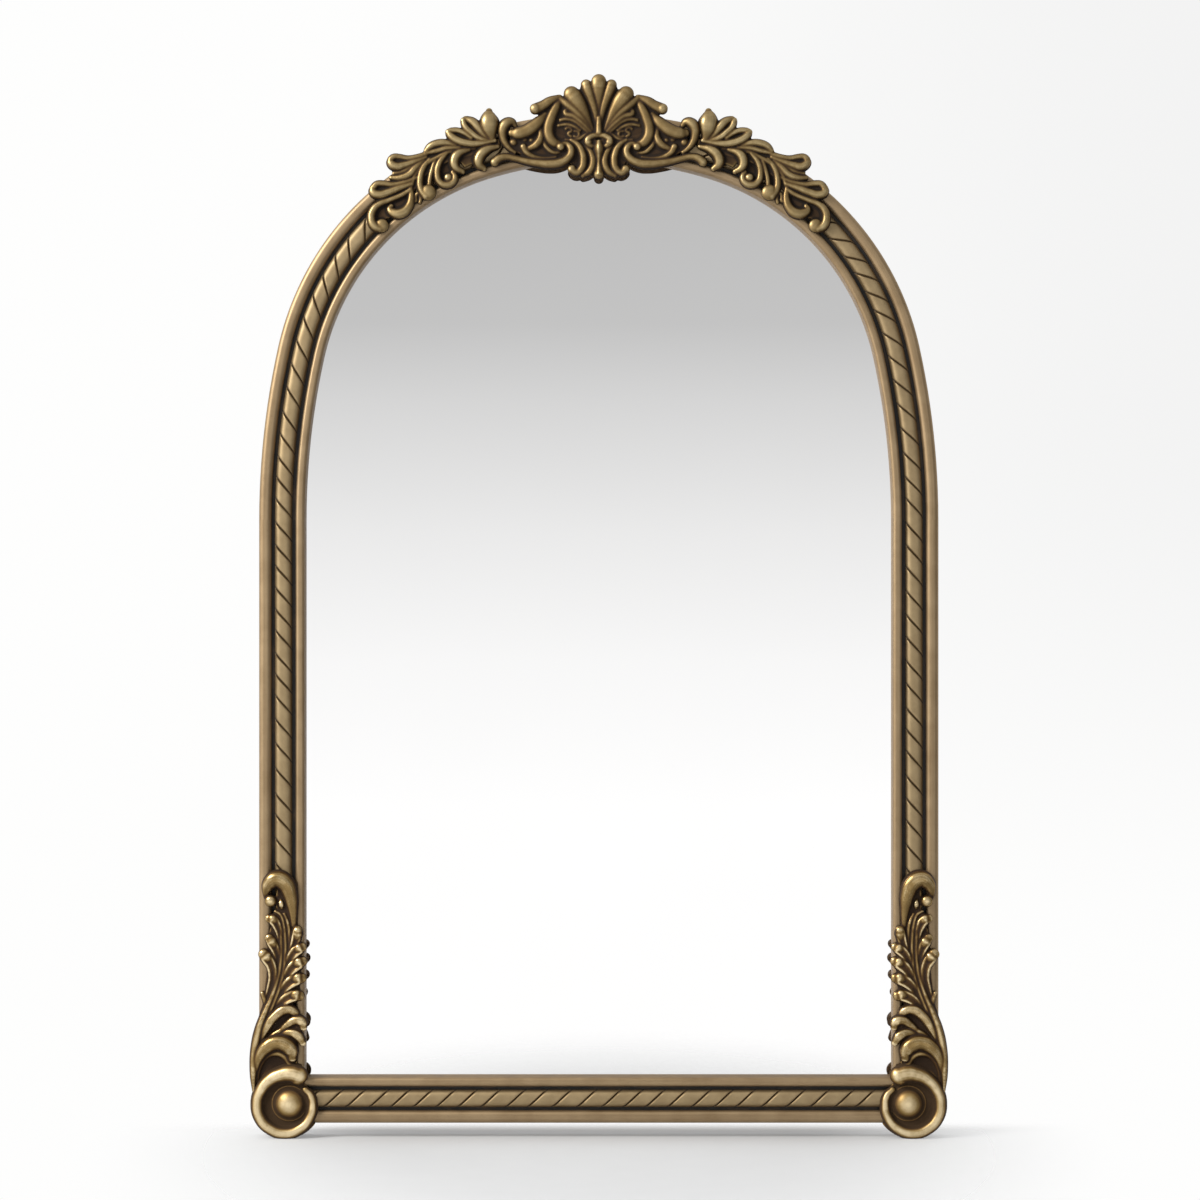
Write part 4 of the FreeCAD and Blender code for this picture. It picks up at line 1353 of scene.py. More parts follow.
@dataclass
class Carving:
    """An applied ornament: strokes and knobs that grow together into one casting."""

    layout: Layout
    name: str
    place: Place
    strokes: tuple[Stroke, ...]
    knobs: tuple[Knob, ...]
    middle: tuple[Stroke, ...] = ()
    middle_knobs: tuple[Knob, ...] = ()
    finish: CarvedGilding = field(default_factory=CarvedGilding)
    voxel: float = 0.6 * MM
    skirt: float = 1.2
    swell: float = 0.42 * MM
    smoothing: int = 8
    blunt_px: float = 3.5
    tail_height: float = 0.5
    curve_steps: int = 7
    knob_sides: int = 24
    knob_rings: int = 14
    stem_share: float = 0.97
    blur_steps: tuple[int, int] = (6, 40)
    proud_gain: float = 0.2
    proud_limit: float = 1.5
    proud_share: float = 90.0
    # strength and level of the painted shade on surfaces turned away from the front
    flank_shade: float = 0.45
    flank_shade_level: float = 0.75

    def lift(self, stroke: Stroke, width: float) -> float:
        """Height of a stroke's shoulders where it has a width; its thin tails lie lower.

        Args:
            stroke: The stroke.
            width: Its width at the place, in pixels.

        Returns:
            The height in mm.
        """
        if stroke.form is Form.FLAT:
            return stroke.lift
        share = width / max(station[2] for station in stroke.stations)
        return stroke.lift * (self.tail_height + (1.0 - self.tail_height) * share)

    def template(self, stroke: Stroke) -> bpy.types.Object:
        """The closed section that a stroke is swept with, deep enough to pass its seat.

        Args:
            stroke: The stroke.

        Returns:
            The section as a curve.
        """
        thinnest = min(width for _, _, width in stroke.stations) * self.layout.scale / 2
        skirt = (stroke.lift + self.skirt) * MM / thinnest
        edge = stroke.form.value[-1][0]
        points = [(-edge, -skirt), *stroke.form.value, (edge, -skirt)]
        curve = Bench.outline([(across, rise, 0.0) for across, rise in points])
        curve.data.dimensions = "2D"
        curve.data.fill_mode = "NONE"
        return curve

    def sweep(self, stroke: Stroke) -> bpy.types.Object:
        """One stroke: a curve through its stations, with the section swept along it.

        Args:
            stroke: The stroke.

        Returns:
            The stroke as a mesh, lying with the picture's up along Y.
        """
        template = self.template(stroke)
        Bench.clear()
        bpy.ops.curve.primitive_bezier_curve_add()
        curve = bpy.context.object
        line = curve.data.splines[0]
        line.bezier_points.add(len(stroke.stations) - 2)
        for point, (x_px, y_px, width) in zip(line.bezier_points, stroke.stations):
            x, z = self.place(x_px, y_px)
            point.co = (x, z, self.lift(stroke, width) * MM)
            point.handle_left_type = point.handle_right_type = "AUTO"
            point.radius = width * self.layout.scale / 2
        line.radius_interpolation = "CARDINAL"
        curve.data.dimensions = "3D"
        curve.data.twist_mode = "Z_UP"
        curve.data.bevel_mode = "OBJECT"
        curve.data.bevel_object = template
        curve.data.use_fill_caps = True
        curve.data.resolution_u = self.curve_steps
        bpy.ops.object.convert(target="MESH")
        bpy.data.objects.remove(template)
        return bpy.context.object

    def knob(self, knob: Knob) -> bpy.types.Object:
        """One rounded end on its own stem.

        Args:
            knob: The knob.

        Returns:
            Its mesh.
        """
        x, z = self.place(knob.x, knob.y)
        radius = knob.radius * self.layout.scale
        Bench.clear()
        bpy.ops.mesh.primitive_uv_sphere_add(segments=self.knob_sides, ring_count=self.knob_rings,
                                             radius=radius, location=(x, z, knob.lift * MM))
        ball = bpy.context.object
        ball.scale.z = knob.dome
        bpy.ops.mesh.primitive_cylinder_add(vertices=self.knob_sides, radius=self.stem_share * radius,
                                            depth=2.0 * knob.lift * MM, location=(x, z, 0.0))
        stem = bpy.context.object
        whole = Bench.join([ball, stem], "knob")
        Bench.settle(whole)
        return whole

    def forms(self, strokes: Sequence[Stroke], knobs: Sequence[Knob]) -> list[bpy.types.Object]:
        """Meshes of strokes and knobs, with the blunt ends of round strokes rounded over.

        Args:
            strokes: The strokes.
            knobs: The knobs.

        Returns:
            One mesh for each.
        """
        ends = [Knob(x, y, width / 2, self.lift(stroke, width), stroke.form.crown)
                for stroke in strokes if stroke.form in (Form.ROUND, Form.BROAD)
                for x, y, width in (stroke.stations[0], stroke.stations[-1]) if width > self.blunt_px]
        return [self.sweep(stroke) for stroke in strokes] + [self.knob(knob) for knob in (*knobs, *ends)]

    def skin(self, piece: bpy.types.Object) -> None:
        """Grows all forms of a piece together into one surface."""
        Bench.apply(piece, "REMESH", mode="VOXEL", voxel_size=self.voxel, adaptivity=0.0)

    def complete(self, piece: bpy.types.Object) -> bpy.types.Object:
        """What a casting needs beyond its strokes; nothing for most."""
        return piece

    def cast(self) -> bpy.types.Object:
        """The whole casting, skinned as one surface and put in its place.

        Returns:
            The casting.
        """
        halves = self.forms(self.strokes, self.knobs)
        if self.middle:
            halves += [Bench.copy(half, half.name, MIRROR) for half in halves]
            halves += self.forms(self.middle, self.middle_knobs)
        piece = Bench.join(halves, self.name)
        Bench.edit(piece)
        bpy.ops.mesh.remove_doubles(threshold=MERGE)
        bpy.ops.mesh.normals_make_consistent(inside=False)
        bpy.ops.object.mode_set(mode="OBJECT")
        self.skin(piece)
        Bench.apply(piece, "DISPLACE", strength=self.swell, mid_level=0.0)
        self.skin(piece)
        Bench.cut(piece, *SEAT_CUT)
        piece = self.complete(piece)
        Bench.apply(piece, "SMOOTH", factor=0.5, iterations=self.smoothing)
        piece.location = (0.0, self.layout.seat, 0.0)
        piece.rotation_euler = (QUARTER, 0.0, 0.0)
        Bench.settle(piece)
        bpy.ops.object.shade_smooth()
        self.mark_patina_and_shade(piece)
        return piece

    def mark_patina_and_shade(self, piece: bpy.types.Object) -> None:
        """Marks how hollow or proud the surface is, near and far, and how far it turns from the front, for
        patina and painted shade.

        Args:
            piece: The casting.
        """
        mesh = piece.data
        spots = Bench.places(piece)
        count = len(spots)
        normals = np.empty(count * 3, np.float32)
        mesh.vertices.foreach_get("normal", normals)
        normals = normals.reshape(-1, 3)
        pairs = np.empty(len(mesh.edges) * 2, np.int32)
        mesh.edges.foreach_get("vertices", pairs)
        first, second = pairs[0::2], pairs[1::2]
        number = np.bincount(pairs, minlength=count)
        blurred, wear = spots.copy(), np.full(count, 0.5)
        # hollows are marked darker as patina and painted shade, proud ridges lighter
        for step in range(1, max(self.blur_steps) + 1):
            total = np.stack([np.bincount(first, blurred[second, k], count)
                              + np.bincount(second, blurred[first, k], count) for k in range(3)], 1)
            blurred = 0.5 * blurred + 0.5 * total / number[:, None]
            if step in self.blur_steps:
                proud = ((spots - blurred) * normals).sum(1)
                reach = np.percentile(np.abs(proud), self.proud_share)
                wear += self.proud_gain * np.clip(proud / reach, -self.proud_limit, self.proud_limit)
        # painted shade: surfaces turned away from the front are marked darker
        wear += self.flank_shade * (np.clip(-normals[:, 1], 0.0, 1.0) - self.flank_shade_level)
        Bench.mark(piece, "wear", np.clip(wear, 0.0, 1.0))

    def build(self, left: str, right: str | None = None) -> None:
        """Builds and dresses the ornament, and its twin on the right if there is one.

        Args:
            left: The solid that it stands for.
            right: The solid that its twin stands for.
        """
        piece = self.cast()
        finish = replace(self.finish, seat=self.layout.seat)
        if right:
            twin = Bench.copy(piece, self.name.replace("left", "right"), MIRROR)
            dress(twin, finish, nodes=(right,))
        dress(piece, finish, nodes=(left,))


ROUND, BROAD, DISH, KEEL, FLAT = Form.ROUND, Form.BROAD, Form.DISH, Form.KEEL, Form.FLAT


def spoon(lift: float, *stations: Station, sink: float = 0.2, tail: float = 3.0) -> tuple[Stroke, ...]:
    """A spooned lobe: a dished stroke with a full tip.

    Args:
        lift: Height of its shoulders in mm.
        stations: Stations of the lobe; the stronger rim lies on one side of their run.
        sink: How much lower the tip's own stroke lies, in mm.
        tail: Width in pixels where that stroke ends in the hollow.

    Returns:
        The strokes that make the lobe.
    """
    end, neck, floor = (stations if stations[0][2] > stations[-1][2] else stations[::-1])[:3]
    return DISH(lift, *stations), BROAD(lift - sink, end, neck, (*floor[:2], tail))


SHELL_STROKES = (
    FLAT(2.6, (568, 144, 16), (548, 145, 29), (528, 144, 24), (510, 141, 14)),
    FLAT(2.4, (556, 118, 22), (570, 123, 34), (586, 128, 34), (599, 130, 26)),
    FLAT(2.4, (583, 100, 10), (588, 115, 16), (592, 130, 18), (599, 140, 20)),
    FLAT(2.2, (578, 141, 16), (585, 156, 28), (588, 168, 18)),
    FLAT(2.6, (544, 107, 10), (546, 118, 14), (540, 130, 16)),
    FLAT(2.4, (557, 98, 9), (561, 104, 17), (563, 116, 18)),
    FLAT(2.8, (556, 101, 8), (550, 107, 10), (545, 113, 10)),
    ROUND(3.6, (586.4, 84.4, 10.6), (587.8, 88.4, 11), (591, 97, 9.4), (595, 109.5, 6.8), (597.4, 123, 4)),
    BROAD(4.0, (571.8, 93.6, 15.6), (575, 97.4, 16.4), (581.4, 107, 13), (587.4, 118.6, 8), (593, 130, 4)),
    ROUND(3.2, (560.4, 98.4, 6.6), (567.6, 103.6, 9), (576.4, 111, 9), (584.6, 120, 6.8), (591.6, 130, 4)),
    ROUND(3.4, (571.4, 108.4, 4), (565.4, 111.6, 5.2), (574.6, 115.8, 6.6), (583.6, 123.4, 5.8),
          (590.6, 131, 4)),
    ROUND(3.2, (559.6, 119.8, 3.4), (567.6, 118.4, 4.4), (575.6, 120.8, 5), (582.6, 126.4, 4.6),
          (588.6, 132, 3.6)),
    ROUND(3.0, (558, 125, 2.8), (567, 124, 3.6), (575, 126.2, 3.8), (581, 130.4, 3.2)),
    ROUND(2.6, (565.4, 128.4, 3), (569.2, 126.8, 3.4), (571.8, 129.8, 3.2), (568.6, 133, 3),
          (571.6, 136.4, 3)),
    ROUND(2.6, (574, 130.2, 3), (578.6, 131.6, 3.4), (578, 136.2, 3.2), (573.8, 135.6, 2.8)),
    ROUND(2.6, (565, 139.4, 3), (576.6, 139, 3.6), (587.6, 133, 3.6)),
    ROUND(4.4, (599, 134.6, 5), (592, 136, 6), (587.8, 140.6, 6.6), (591.4, 145.2, 5), (595.6, 145, 3.4)),
    ROUND(3.4, (587, 145.6, 4.6), (592, 154, 6.2), (593, 163.2, 7), (589.6, 170.6, 6.8), (583, 174.6, 4.8)),
    FLAT(4.4, (587, 140.6, 6), (591, 141.4, 8), (596, 140.6, 8)),
    ROUND(3.8, (571.6, 139.6, 4), (578.2, 144.2, 5.6), (582.4, 151.8, 6.8), (583.6, 160.6, 7.2),
          (581.8, 168, 7.2), (576.8, 171.8, 7), (571.6, 168.8, 7.4)),
    BROAD(4.6, (560, 96.6, 5), (550.4, 100.4, 8), (543.6, 104.8, 9), (536, 108.4, 10)),
    BROAD(4.2, (560, 98.6, 5), (556.4, 106.4, 7.6), (551.6, 117, 9.2), (548.6, 128.2, 9.8),
          (550, 136.8, 9.8), (554.4, 142, 8.8), (559.4, 144, 7)),
    ROUND(3.0, (545, 128, 3), (544, 141, 4), (548, 148, 4.4), (554.6, 152, 4), (560.6, 151.4, 3)),
    ROUND(4.4, (560.8, 146, 6.4), (565.6, 143.2, 5), (570.2, 146.6, 6.6), (571.2, 152.2, 7.2),
          (567.4, 158.2, 7.8), (559, 162.4, 8.4), (549, 163.4, 8.4), (538, 162.6, 7.6), (527, 160.8, 6.6),
          (515.8, 158, 6), (507, 156.4, 6.4), (499.8, 157.8, 7.6), (494.8, 161.6, 8)),
    BROAD(4.4, (545.6, 114, 5), (540.6, 119.6, 9.4), (533.2, 126.2, 11.8), (525.2, 131, 12.2),
          (516.8, 132.8, 11.4), (512.4, 132.4, 8)),
    ROUND(4.2, (515.4, 124.8, 4.4), (512, 121.6, 7.4), (506.6, 122.8, 9.8), (503.2, 128, 9.4),
          (503, 134.8, 7.6), (505.2, 141.6, 6.2), (509.8, 147.8, 4.8), (516, 152.4, 3.4)),
    ROUND(3.6, (540.6, 128.6, 4.4), (540.8, 137, 6.8), (536.8, 143.6, 7.6), (529.2, 148, 5.6)),
    ROUND(3.6, (523.6, 146.2, 6.4), (526.8, 151.8, 6), (534.6, 156.4, 4.8), (545.8, 158, 3.8),
          (556.8, 156.6, 3)),
)
SHELL_KNOBS = (Knob(535.4, 108.4, 5.2, 4.8),
               Knob(495, 161.6, 4.3, 4.4), Knob(513.6, 141.8, 3.6, 2.4), Knob(572, 168.6, 4.2, 3.8),
               Knob(560.8, 146.4, 3.9, 4.6), Knob(525, 138.5, 3, 2.2), Knob(531.6, 139.8, 2.4, 2.4),
               Knob(588.4, 141.6, 3.7, 4.6))
SHELL_AXIS = (
    BROAD(5.2, (599, 81.4, 14.8), (599, 84, 15), (599, 88, 13.4), (599, 97, 9), (599, 107, 4.8),
          (599, 116, 3)),
    ROUND(4.0, (599, 117.6, 5), (599, 125, 5.8), (599, 132, 6.4)),
    KEEL(4.4, (599, 140, 6), (599, 147.4, 9.4), (599, 154, 7.4), (599, 162, 5.4), (599, 169, 7.6),
         (599, 174.6, 9.4)),
)
SHELL_AXIS_KNOBS = (Knob(599, 173.8, 4.8, 4.6),)

SPRAY_STROKES = (
    FLAT(2.4, (500, 142, 8), (486, 145.5, 11), (470, 148, 13), (452, 152, 15), (434, 159, 16),
         (420, 170, 15), (411, 186, 10), (408, 196, 6)),
    # low grounds inside the loops, left dark by the finish's painted shade of low parts
    FLAT(1.3, (406, 196, 10), (394, 204, 17), (382, 212, 17), (379, 220, 10)),
    FLAT(0.9, (431, 164, 7), (427, 176, 9), (426, 187, 8)),
    FLAT(0.9, (448, 158, 7), (446, 168, 11), (447, 178, 11)),
    FLAT(3.2, (465, 120, 7), (472, 127, 10), (482, 135, 8)),
    FLAT(3.4, (451, 132, 7), (460, 135, 9), (472, 139, 6)),
    FLAT(2.8, (428, 149, 6), (438, 146, 8), (452, 145, 8)),
    BROAD(4.8, (489.4, 110.8, 6), (489.3, 112.4, 9.6), (489.2, 114.8, 13), (489.3, 118, 16),
          (489.6, 121.8, 17.4), (490, 126.4, 16.2), (490.8, 131.4, 12.4), (492, 137.5, 7)),
    ROUND(4.4, (463.6, 119.8, 5), (465.6, 126, 5.8), (471.4, 132, 6), (479, 137.4, 5.4), (489, 140.6, 4)),
    ROUND(4.0, (466, 118.4, 5.4), (472.4, 121, 7.4), (478.4, 127, 8), (484, 134, 6), (490, 140, 4)),
    ROUND(4.6, (448.8, 131.8, 6), (451.4, 135.6, 7), (458, 140, 7.6), (468, 142.8, 7), (480, 143, 5.8),
          (495, 140, 4)),
    ROUND(4.2, (450.4, 130.4, 5), (457, 130, 5), (464.6, 132.4, 5), (471.6, 137, 4.4)),
    ROUND(4.0, (426.4, 150.4, 4.4), (430.4, 146, 6), (438.2, 142.8, 6.6), (447, 142.4, 6),
          (456, 144.4, 4.6)),
    ROUND(3.6, (427.4, 152, 4), (437.6, 150, 4.6), (448, 147.4, 4.8), (460, 147, 4.2)),
    ROUND(2.8, (433, 148, 3), (443, 145.6, 3.2), (454, 145.6, 3)),
    ROUND(3.8, (391, 158.6, 6), (391.4, 162.6, 7.6), (396.4, 165.8, 8), (405, 164.4, 6.8), (415, 161, 5.6),
          (426, 156.4, 4)),
    ROUND(3.6, (391.2, 159, 6), (394, 156.4, 5.4), (399.4, 156.2, 4.8), (408, 157.6, 4.6),
          (417, 156.4, 4.6), (427, 153, 4)),
    FLAT(3.4, (391, 161, 10), (398, 161, 10), (410, 159.6, 8), (426, 156.6, 5)),
    ROUND(3.4, (391.4, 177, 4), (400, 177, 6), (409, 174, 7), (416, 167, 6.4), (424, 160, 4)),
    ROUND(3.0, (393, 173, 3), (404, 170.4, 4.6), (414, 164.6, 4.6), (424, 158.6, 3.6)),
    ROUND(3.8, (373.4, 187.4, 6.4), (373.6, 191.4, 7.6), (379, 194, 8.2), (389, 191.6, 7.4),
          (399, 187.6, 6.4), (412, 183, 4.6)),
    ROUND(3.6, (374, 187, 6), (377, 183.6, 5.6), (383.6, 183, 5.4), (393, 184, 5), (404, 182, 4.6),
          (417, 176.6, 4)),
    FLAT(3.0, (372.6, 189.4, 10), (380, 188, 10), (392, 185.4, 8), (414, 180, 5)),
    ROUND(4.0, (411, 189, 4), (402, 194.2, 4.4), (389.4, 199.4, 4.8), (379.6, 203.4, 5.6),
          (373.6, 209.4, 6.6), (371.8, 218, 7.4), (374.8, 225.4, 8), (380.4, 228, 7)),
    BROAD(4.2, (411, 187, 4), (411.6, 198.6, 6), (408.4, 207.4, 8), (401.8, 212.6, 9.4),
          (394.6, 212.4, 8.4), (390.4, 208.6, 6), (391.8, 205.4, 4)),
    FLAT(2.0, (480, 154, 8), (470, 157, 13), (462, 163, 9)),
    ROUND(3.8, (430, 159, 4), (424, 166.4, 5.4), (420.6, 177, 5.8), (421.2, 188, 6.4), (426.4, 195.6, 7.4)),
    ROUND(3.4, (436, 158, 3.4), (432.4, 169.4, 3.8), (430.4, 177.4, 3.8), (429.6, 187, 3.8)),
    ROUND(3.8, (447, 152, 4), (439.4, 163, 5.4), (437.6, 174.2, 5.8), (440.2, 181.4, 6.2),
          (446.8, 184.4, 6.6), (453.6, 181.4, 6), (455.2, 175.8, 5), (453, 171.6, 3.6)),
    ROUND(4.0, (469, 149, 4), (458.6, 153, 8), (454.8, 159.4, 8.8), (456, 166.6, 7.6), (463, 171, 4.4)),
    ROUND(4.0, (498, 146, 4), (487, 149.2, 8.4), (480, 155.8, 9.8), (479.2, 163, 8.8), (484.4, 168, 5)),
    ROUND(2.6, (411, 193, 3), (415.6, 200.4, 2.8), (416.4, 195.4, 2.8), (418.4, 192.6, 2.8),
          (421, 197, 2.8), (420, 203, 2.6)),
    ROUND(3.0, (476, 147.4, 3), (452, 150, 4), (438.6, 156.6, 4.4), (424, 164.6, 4.6), (416, 173, 4.6),
          (412, 184, 4)),
    ROUND(3.0, (486, 145.6, 3), (466, 146.8, 3.4), (450, 151.4, 3.4)),
)
SPRAY_KNOBS = (Knob(382.4, 225, 6.6, 3.8, 0.45), Knob(428.6, 192, 7.8, 3.7, 0.45),
               Knob(448.6, 177, 3.9, 3.8))

LEAF_STROKES = (
    FLAT(2.4, (283, 912, 14), (282, 935, 26), (284, 955, 32), (284, 975, 34), (280, 995, 32),
         (272, 1008, 22)),
    FLAT(2.4, (276, 1002, 22), (268, 1018, 18), (260, 1040, 12), (256, 1064, 8)),
    FLAT(2.2, (281, 884, 8), (284, 898, 16), (286, 915, 16)),
    FLAT(2.4, (286, 1030, 12), (296, 1026, 14), (301, 1030, 14)),
    FLAT(1.8, (256, 1084, 5), (259, 1072, 13), (268, 1063, 19), (282, 1063, 20), (295, 1068, 14)),
    BROAD(6.4, (266, 896.6, 4), (267, 889, 9.4), (270.8, 882, 14), (278, 878.6, 16), (286, 883, 15.6),
          (290.8, 893.6, 13.4), (293, 907, 9.4), (294.2, 925, 4.4)),
    ROUND(3.2, (281.2, 899, 3), (281.8, 903.6, 5.4), (282, 908.4, 3)),
    FLAT(2.0, (271, 1034, 8), (282, 1022, 13), (295, 1013, 8)),
    ROUND(4.6, (254.4, 1092, 2.6), (253.9, 1081, 4.8), (254, 1070, 6.6), (255.2, 1050, 7.6),
          (259.8, 1028, 7.8), (266, 1011, 6.2), (271.8, 998, 5.2), (277.4, 981.4, 4.6), (281, 964.6, 4.2),
          (281.8, 948, 4), (280.6, 931, 3.6), (277.4, 920.4, 3), (272.6, 915, 2.4)),
    ROUND(3.6, (262, 1032, 4), (271.4, 1009, 4.4), (278.6, 992, 4.2), (283.8, 974.6, 4), (285.6, 958, 3.8),
          (286, 941, 3.6), (284.4, 926, 3.4), (281, 914.6, 3), (274.8, 910.6, 2.4)),
    ROUND(3.2, (276, 1004, 3.4), (284.6, 986, 3.4), (289.2, 968, 3.4), (290.4, 950, 3.4), (290, 936, 3.4),
          (288.2, 922, 3.2), (284.2, 913, 2.4)),
    *spoon(4.0, (269.6, 918.2, 8), (273.6, 919.6, 10), (278.4, 927.6, 8.6), (281, 941, 5)),
    *spoon(4.0, (269.8, 938, 9), (272.8, 942.6, 10.6), (276.8, 952, 8.4), (279.4, 966, 5)),
    *spoon(4.4, (264.4, 953.4, 10.6), (267.4, 957.6, 12), (271.8, 965, 11), (273.2, 976, 9),
           (270.4, 988, 7), (266.6, 999, 4.4)),
    ROUND(2.6, (262.8, 993, 4.4), (265, 999, 5), (266.4, 1007, 3.4)),
    *spoon(4.2, (298, 930, 9.4), (297.2, 935, 10), (294.4, 945, 8.4), (290, 956, 5)),
    *spoon(4.4, (287.8, 966, 6.2), (293, 954.6, 10.6), (299.4, 948.6, 11), (302.6, 946.8, 9)),
    *spoon(4.4, (285, 981, 6.8), (291.6, 969.2, 12), (299.2, 962.6, 12.6), (302.8, 961, 10)),
    *spoon(4.4, (280, 995, 6.8), (289, 983.6, 12), (298, 978.4, 12.6), (302.2, 977.8, 10)),
    *spoon(4.4, (276, 1009, 6.8), (286.4, 998.8, 11.6), (296, 995, 12), (300.2, 995.4, 10)),
    BROAD(5.9, (258.4, 1046, 4), (266.4, 1028.4, 7.6), (276.4, 1014.6, 8.8), (287, 1008.8, 9),
          (295.6, 1012, 7.4), (298.4, 1017.6, 4.4)),
    ROUND(3.8, (260, 1050, 4), (272.8, 1035.6, 5.4), (284.6, 1027.8, 5), (295, 1017.6, 3.8)),
    BROAD(6.2, (278, 1034, 4), (288.6, 1023.6, 6.8), (296.8, 1019.4, 8.6), (302.6, 1021.4, 9),
          (304, 1026.6, 7)),
    BROAD(6.0, (279, 1035, 4.4), (290.6, 1032, 7.6), (298.6, 1035.2, 9), (303.2, 1042, 7)),
    ROUND(3.4, (291.6, 1026.8, 2.8), (298.6, 1027, 3.6), (303, 1029.4, 3.4)),
    BROAD(7.2, (255, 1080, 2.6), (256, 1067, 6.6), (259.8, 1055.6, 10), (267.2, 1046.4, 13),
          (276.8, 1041.8, 14), (286.4, 1043.8, 14.4), (292.2, 1050.4, 12.6), (293, 1057.4, 8)),
    ROUND(2.8, (257.4, 1082, 2.8), (260.4, 1064, 6), (266.6, 1055.6, 6.4), (276, 1052.6, 6.6),
          (285, 1056, 6.4), (291.4, 1066, 6)),
)
LEAF_KNOBS = (Knob(271, 900.6, 5.9, 3.6), Knob(264.2, 953.8, 5.4, 4.2, 0.62), Knob(298, 930.6, 4.6, 4.0))

SCROLL_STROKES = (
    ROUND(4.2, (299.6, 1074.6, 18), (292, 1072.6, 18), (283, 1073.4, 16.4), (270.6, 1079, 14),
          (261, 1090.4, 12.4), (257.6, 1103, 11.8), (260.4, 1117, 11.8), (270.4, 1128, 11.6),
          (285.6, 1132.6, 11.6), (300.6, 1128, 10.6), (310, 1117.4, 9.6), (313, 1105.4, 8.8),
          (311, 1095, 7.4), (305.4, 1089, 5.6)),
)
SCROLL_KNOBS = (Knob(298.6, 1075, 9.2, 4.6),)

CREST_GILT = CarvedGilding("crest gilding", black=(0.018, 0.011, 0.007), gloss=0.55, bias=-0.3)
SPRAY_GILT = CarvedGilding("spray gilding", gloss=0.48)
LEAF_GILT = CarvedGilding(
    "leaf gilding", black=(0.026, 0.012, 0.004), umber=(0.072, 0.034, 0.011),
    bronze=(0.130, 0.072, 0.024), gold=(0.32, 0.212, 0.083), rubbed_and_highlight=(0.88, 0.70, 0.41),
    gloss=0.38, bias=-0.46, contrast=1.45)
FOOT_GILT = CarvedGilding(
    "foot gilding", black=(0.046, 0.025, 0.010), umber=(0.115, 0.062, 0.022),
    bronze=(0.21, 0.122, 0.043), gold=(0.42, 0.285, 0.115), rubbed_and_highlight=(0.90, 0.73, 0.45),
    bias=-0.56, contrast=1.45)


@dataclass
class FootScroll(Carving):
    """The volute that the frame stands on, with its dished eye and its return to the back."""

    swell: float = 0.1 * MM
    # stronger painted shade on the sides of the band
    flank_shade: float = 0.95
    boss_px: Station = (289.8, 1103.0, 15.6)
    step_px: float = 17.8
    dish_px: Station = (286.6, 1103.0, 27.0)
    return_px: Station = (286.0, 1102.4, 36.2)
    dish_rise: float = 1.6 * MM
    step_rise: float = 2.5 * MM
    boss_rise: float = 10.0 * MM
    disc_sides: int = 72
    boss_sides: int = 64

    def disc(self, spot: Station, low: float, high: float) -> bpy.types.Object:
        """A plain disc between two heights above the seat.

        Args:
            spot: Pixel place and radius.
            low: Lower height.
            high: Upper height.

        Returns:
            The disc.
        """
        x, z = self.place(spot[0], spot[1])
        return Bench.rod(self.disc_sides, spot[2] * self.layout.scale, high - low,
                         (x, z, (low + high) / 2))

    def extras(self) -> list[bpy.types.Object]:
        """The dish, the step in it, the domed boss, and the return under the rail.

        Returns:
            The four meshes.
        """
        x, z = self.place(self.boss_px[0], self.boss_px[1])
        dish = self.disc(self.dish_px, -SEAT_SINK, self.dish_rise)
        plate = self.disc((*self.boss_px[:2], self.step_px), -SEAT_SINK, self.step_rise)
        Bench.clear()
        bpy.ops.mesh.primitive_uv_sphere_add(segments=self.boss_sides, ring_count=self.boss_sides // 2,
                                             radius=1.0, location=(x, z, 0.0))
        boss = bpy.context.object
        reach = self.boss_px[2] * self.layout.scale
        boss.scale = (reach, reach, self.boss_rise)
        Bench.settle(boss)
        Bench.cut(boss, *SEAT_CUT)
        tail = self.disc(self.return_px, self.layout.seat - self.layout.back, self.dish_rise)
        Bench.cut(tail, Vector((0.0, self.layout.rail_bottom, 0.0)), Vector((0.0, 1.0, 0.0)))
        return [dish, plate, boss, tail]

    def complete(self, piece: bpy.types.Object) -> bpy.types.Object:
        """Grows the eye and the return onto the band and cuts the foot level with the floor.

        Args:
            piece: The band.

        Returns:
            The whole foot.
        """
        whole = Bench.join([piece, *self.extras()], self.name)
        self.skin(whole)
        Bench.cut(whole, Vector((0.0, 0.0, 0.0)), Vector((0.0, -1.0, 0.0)))
        return whole


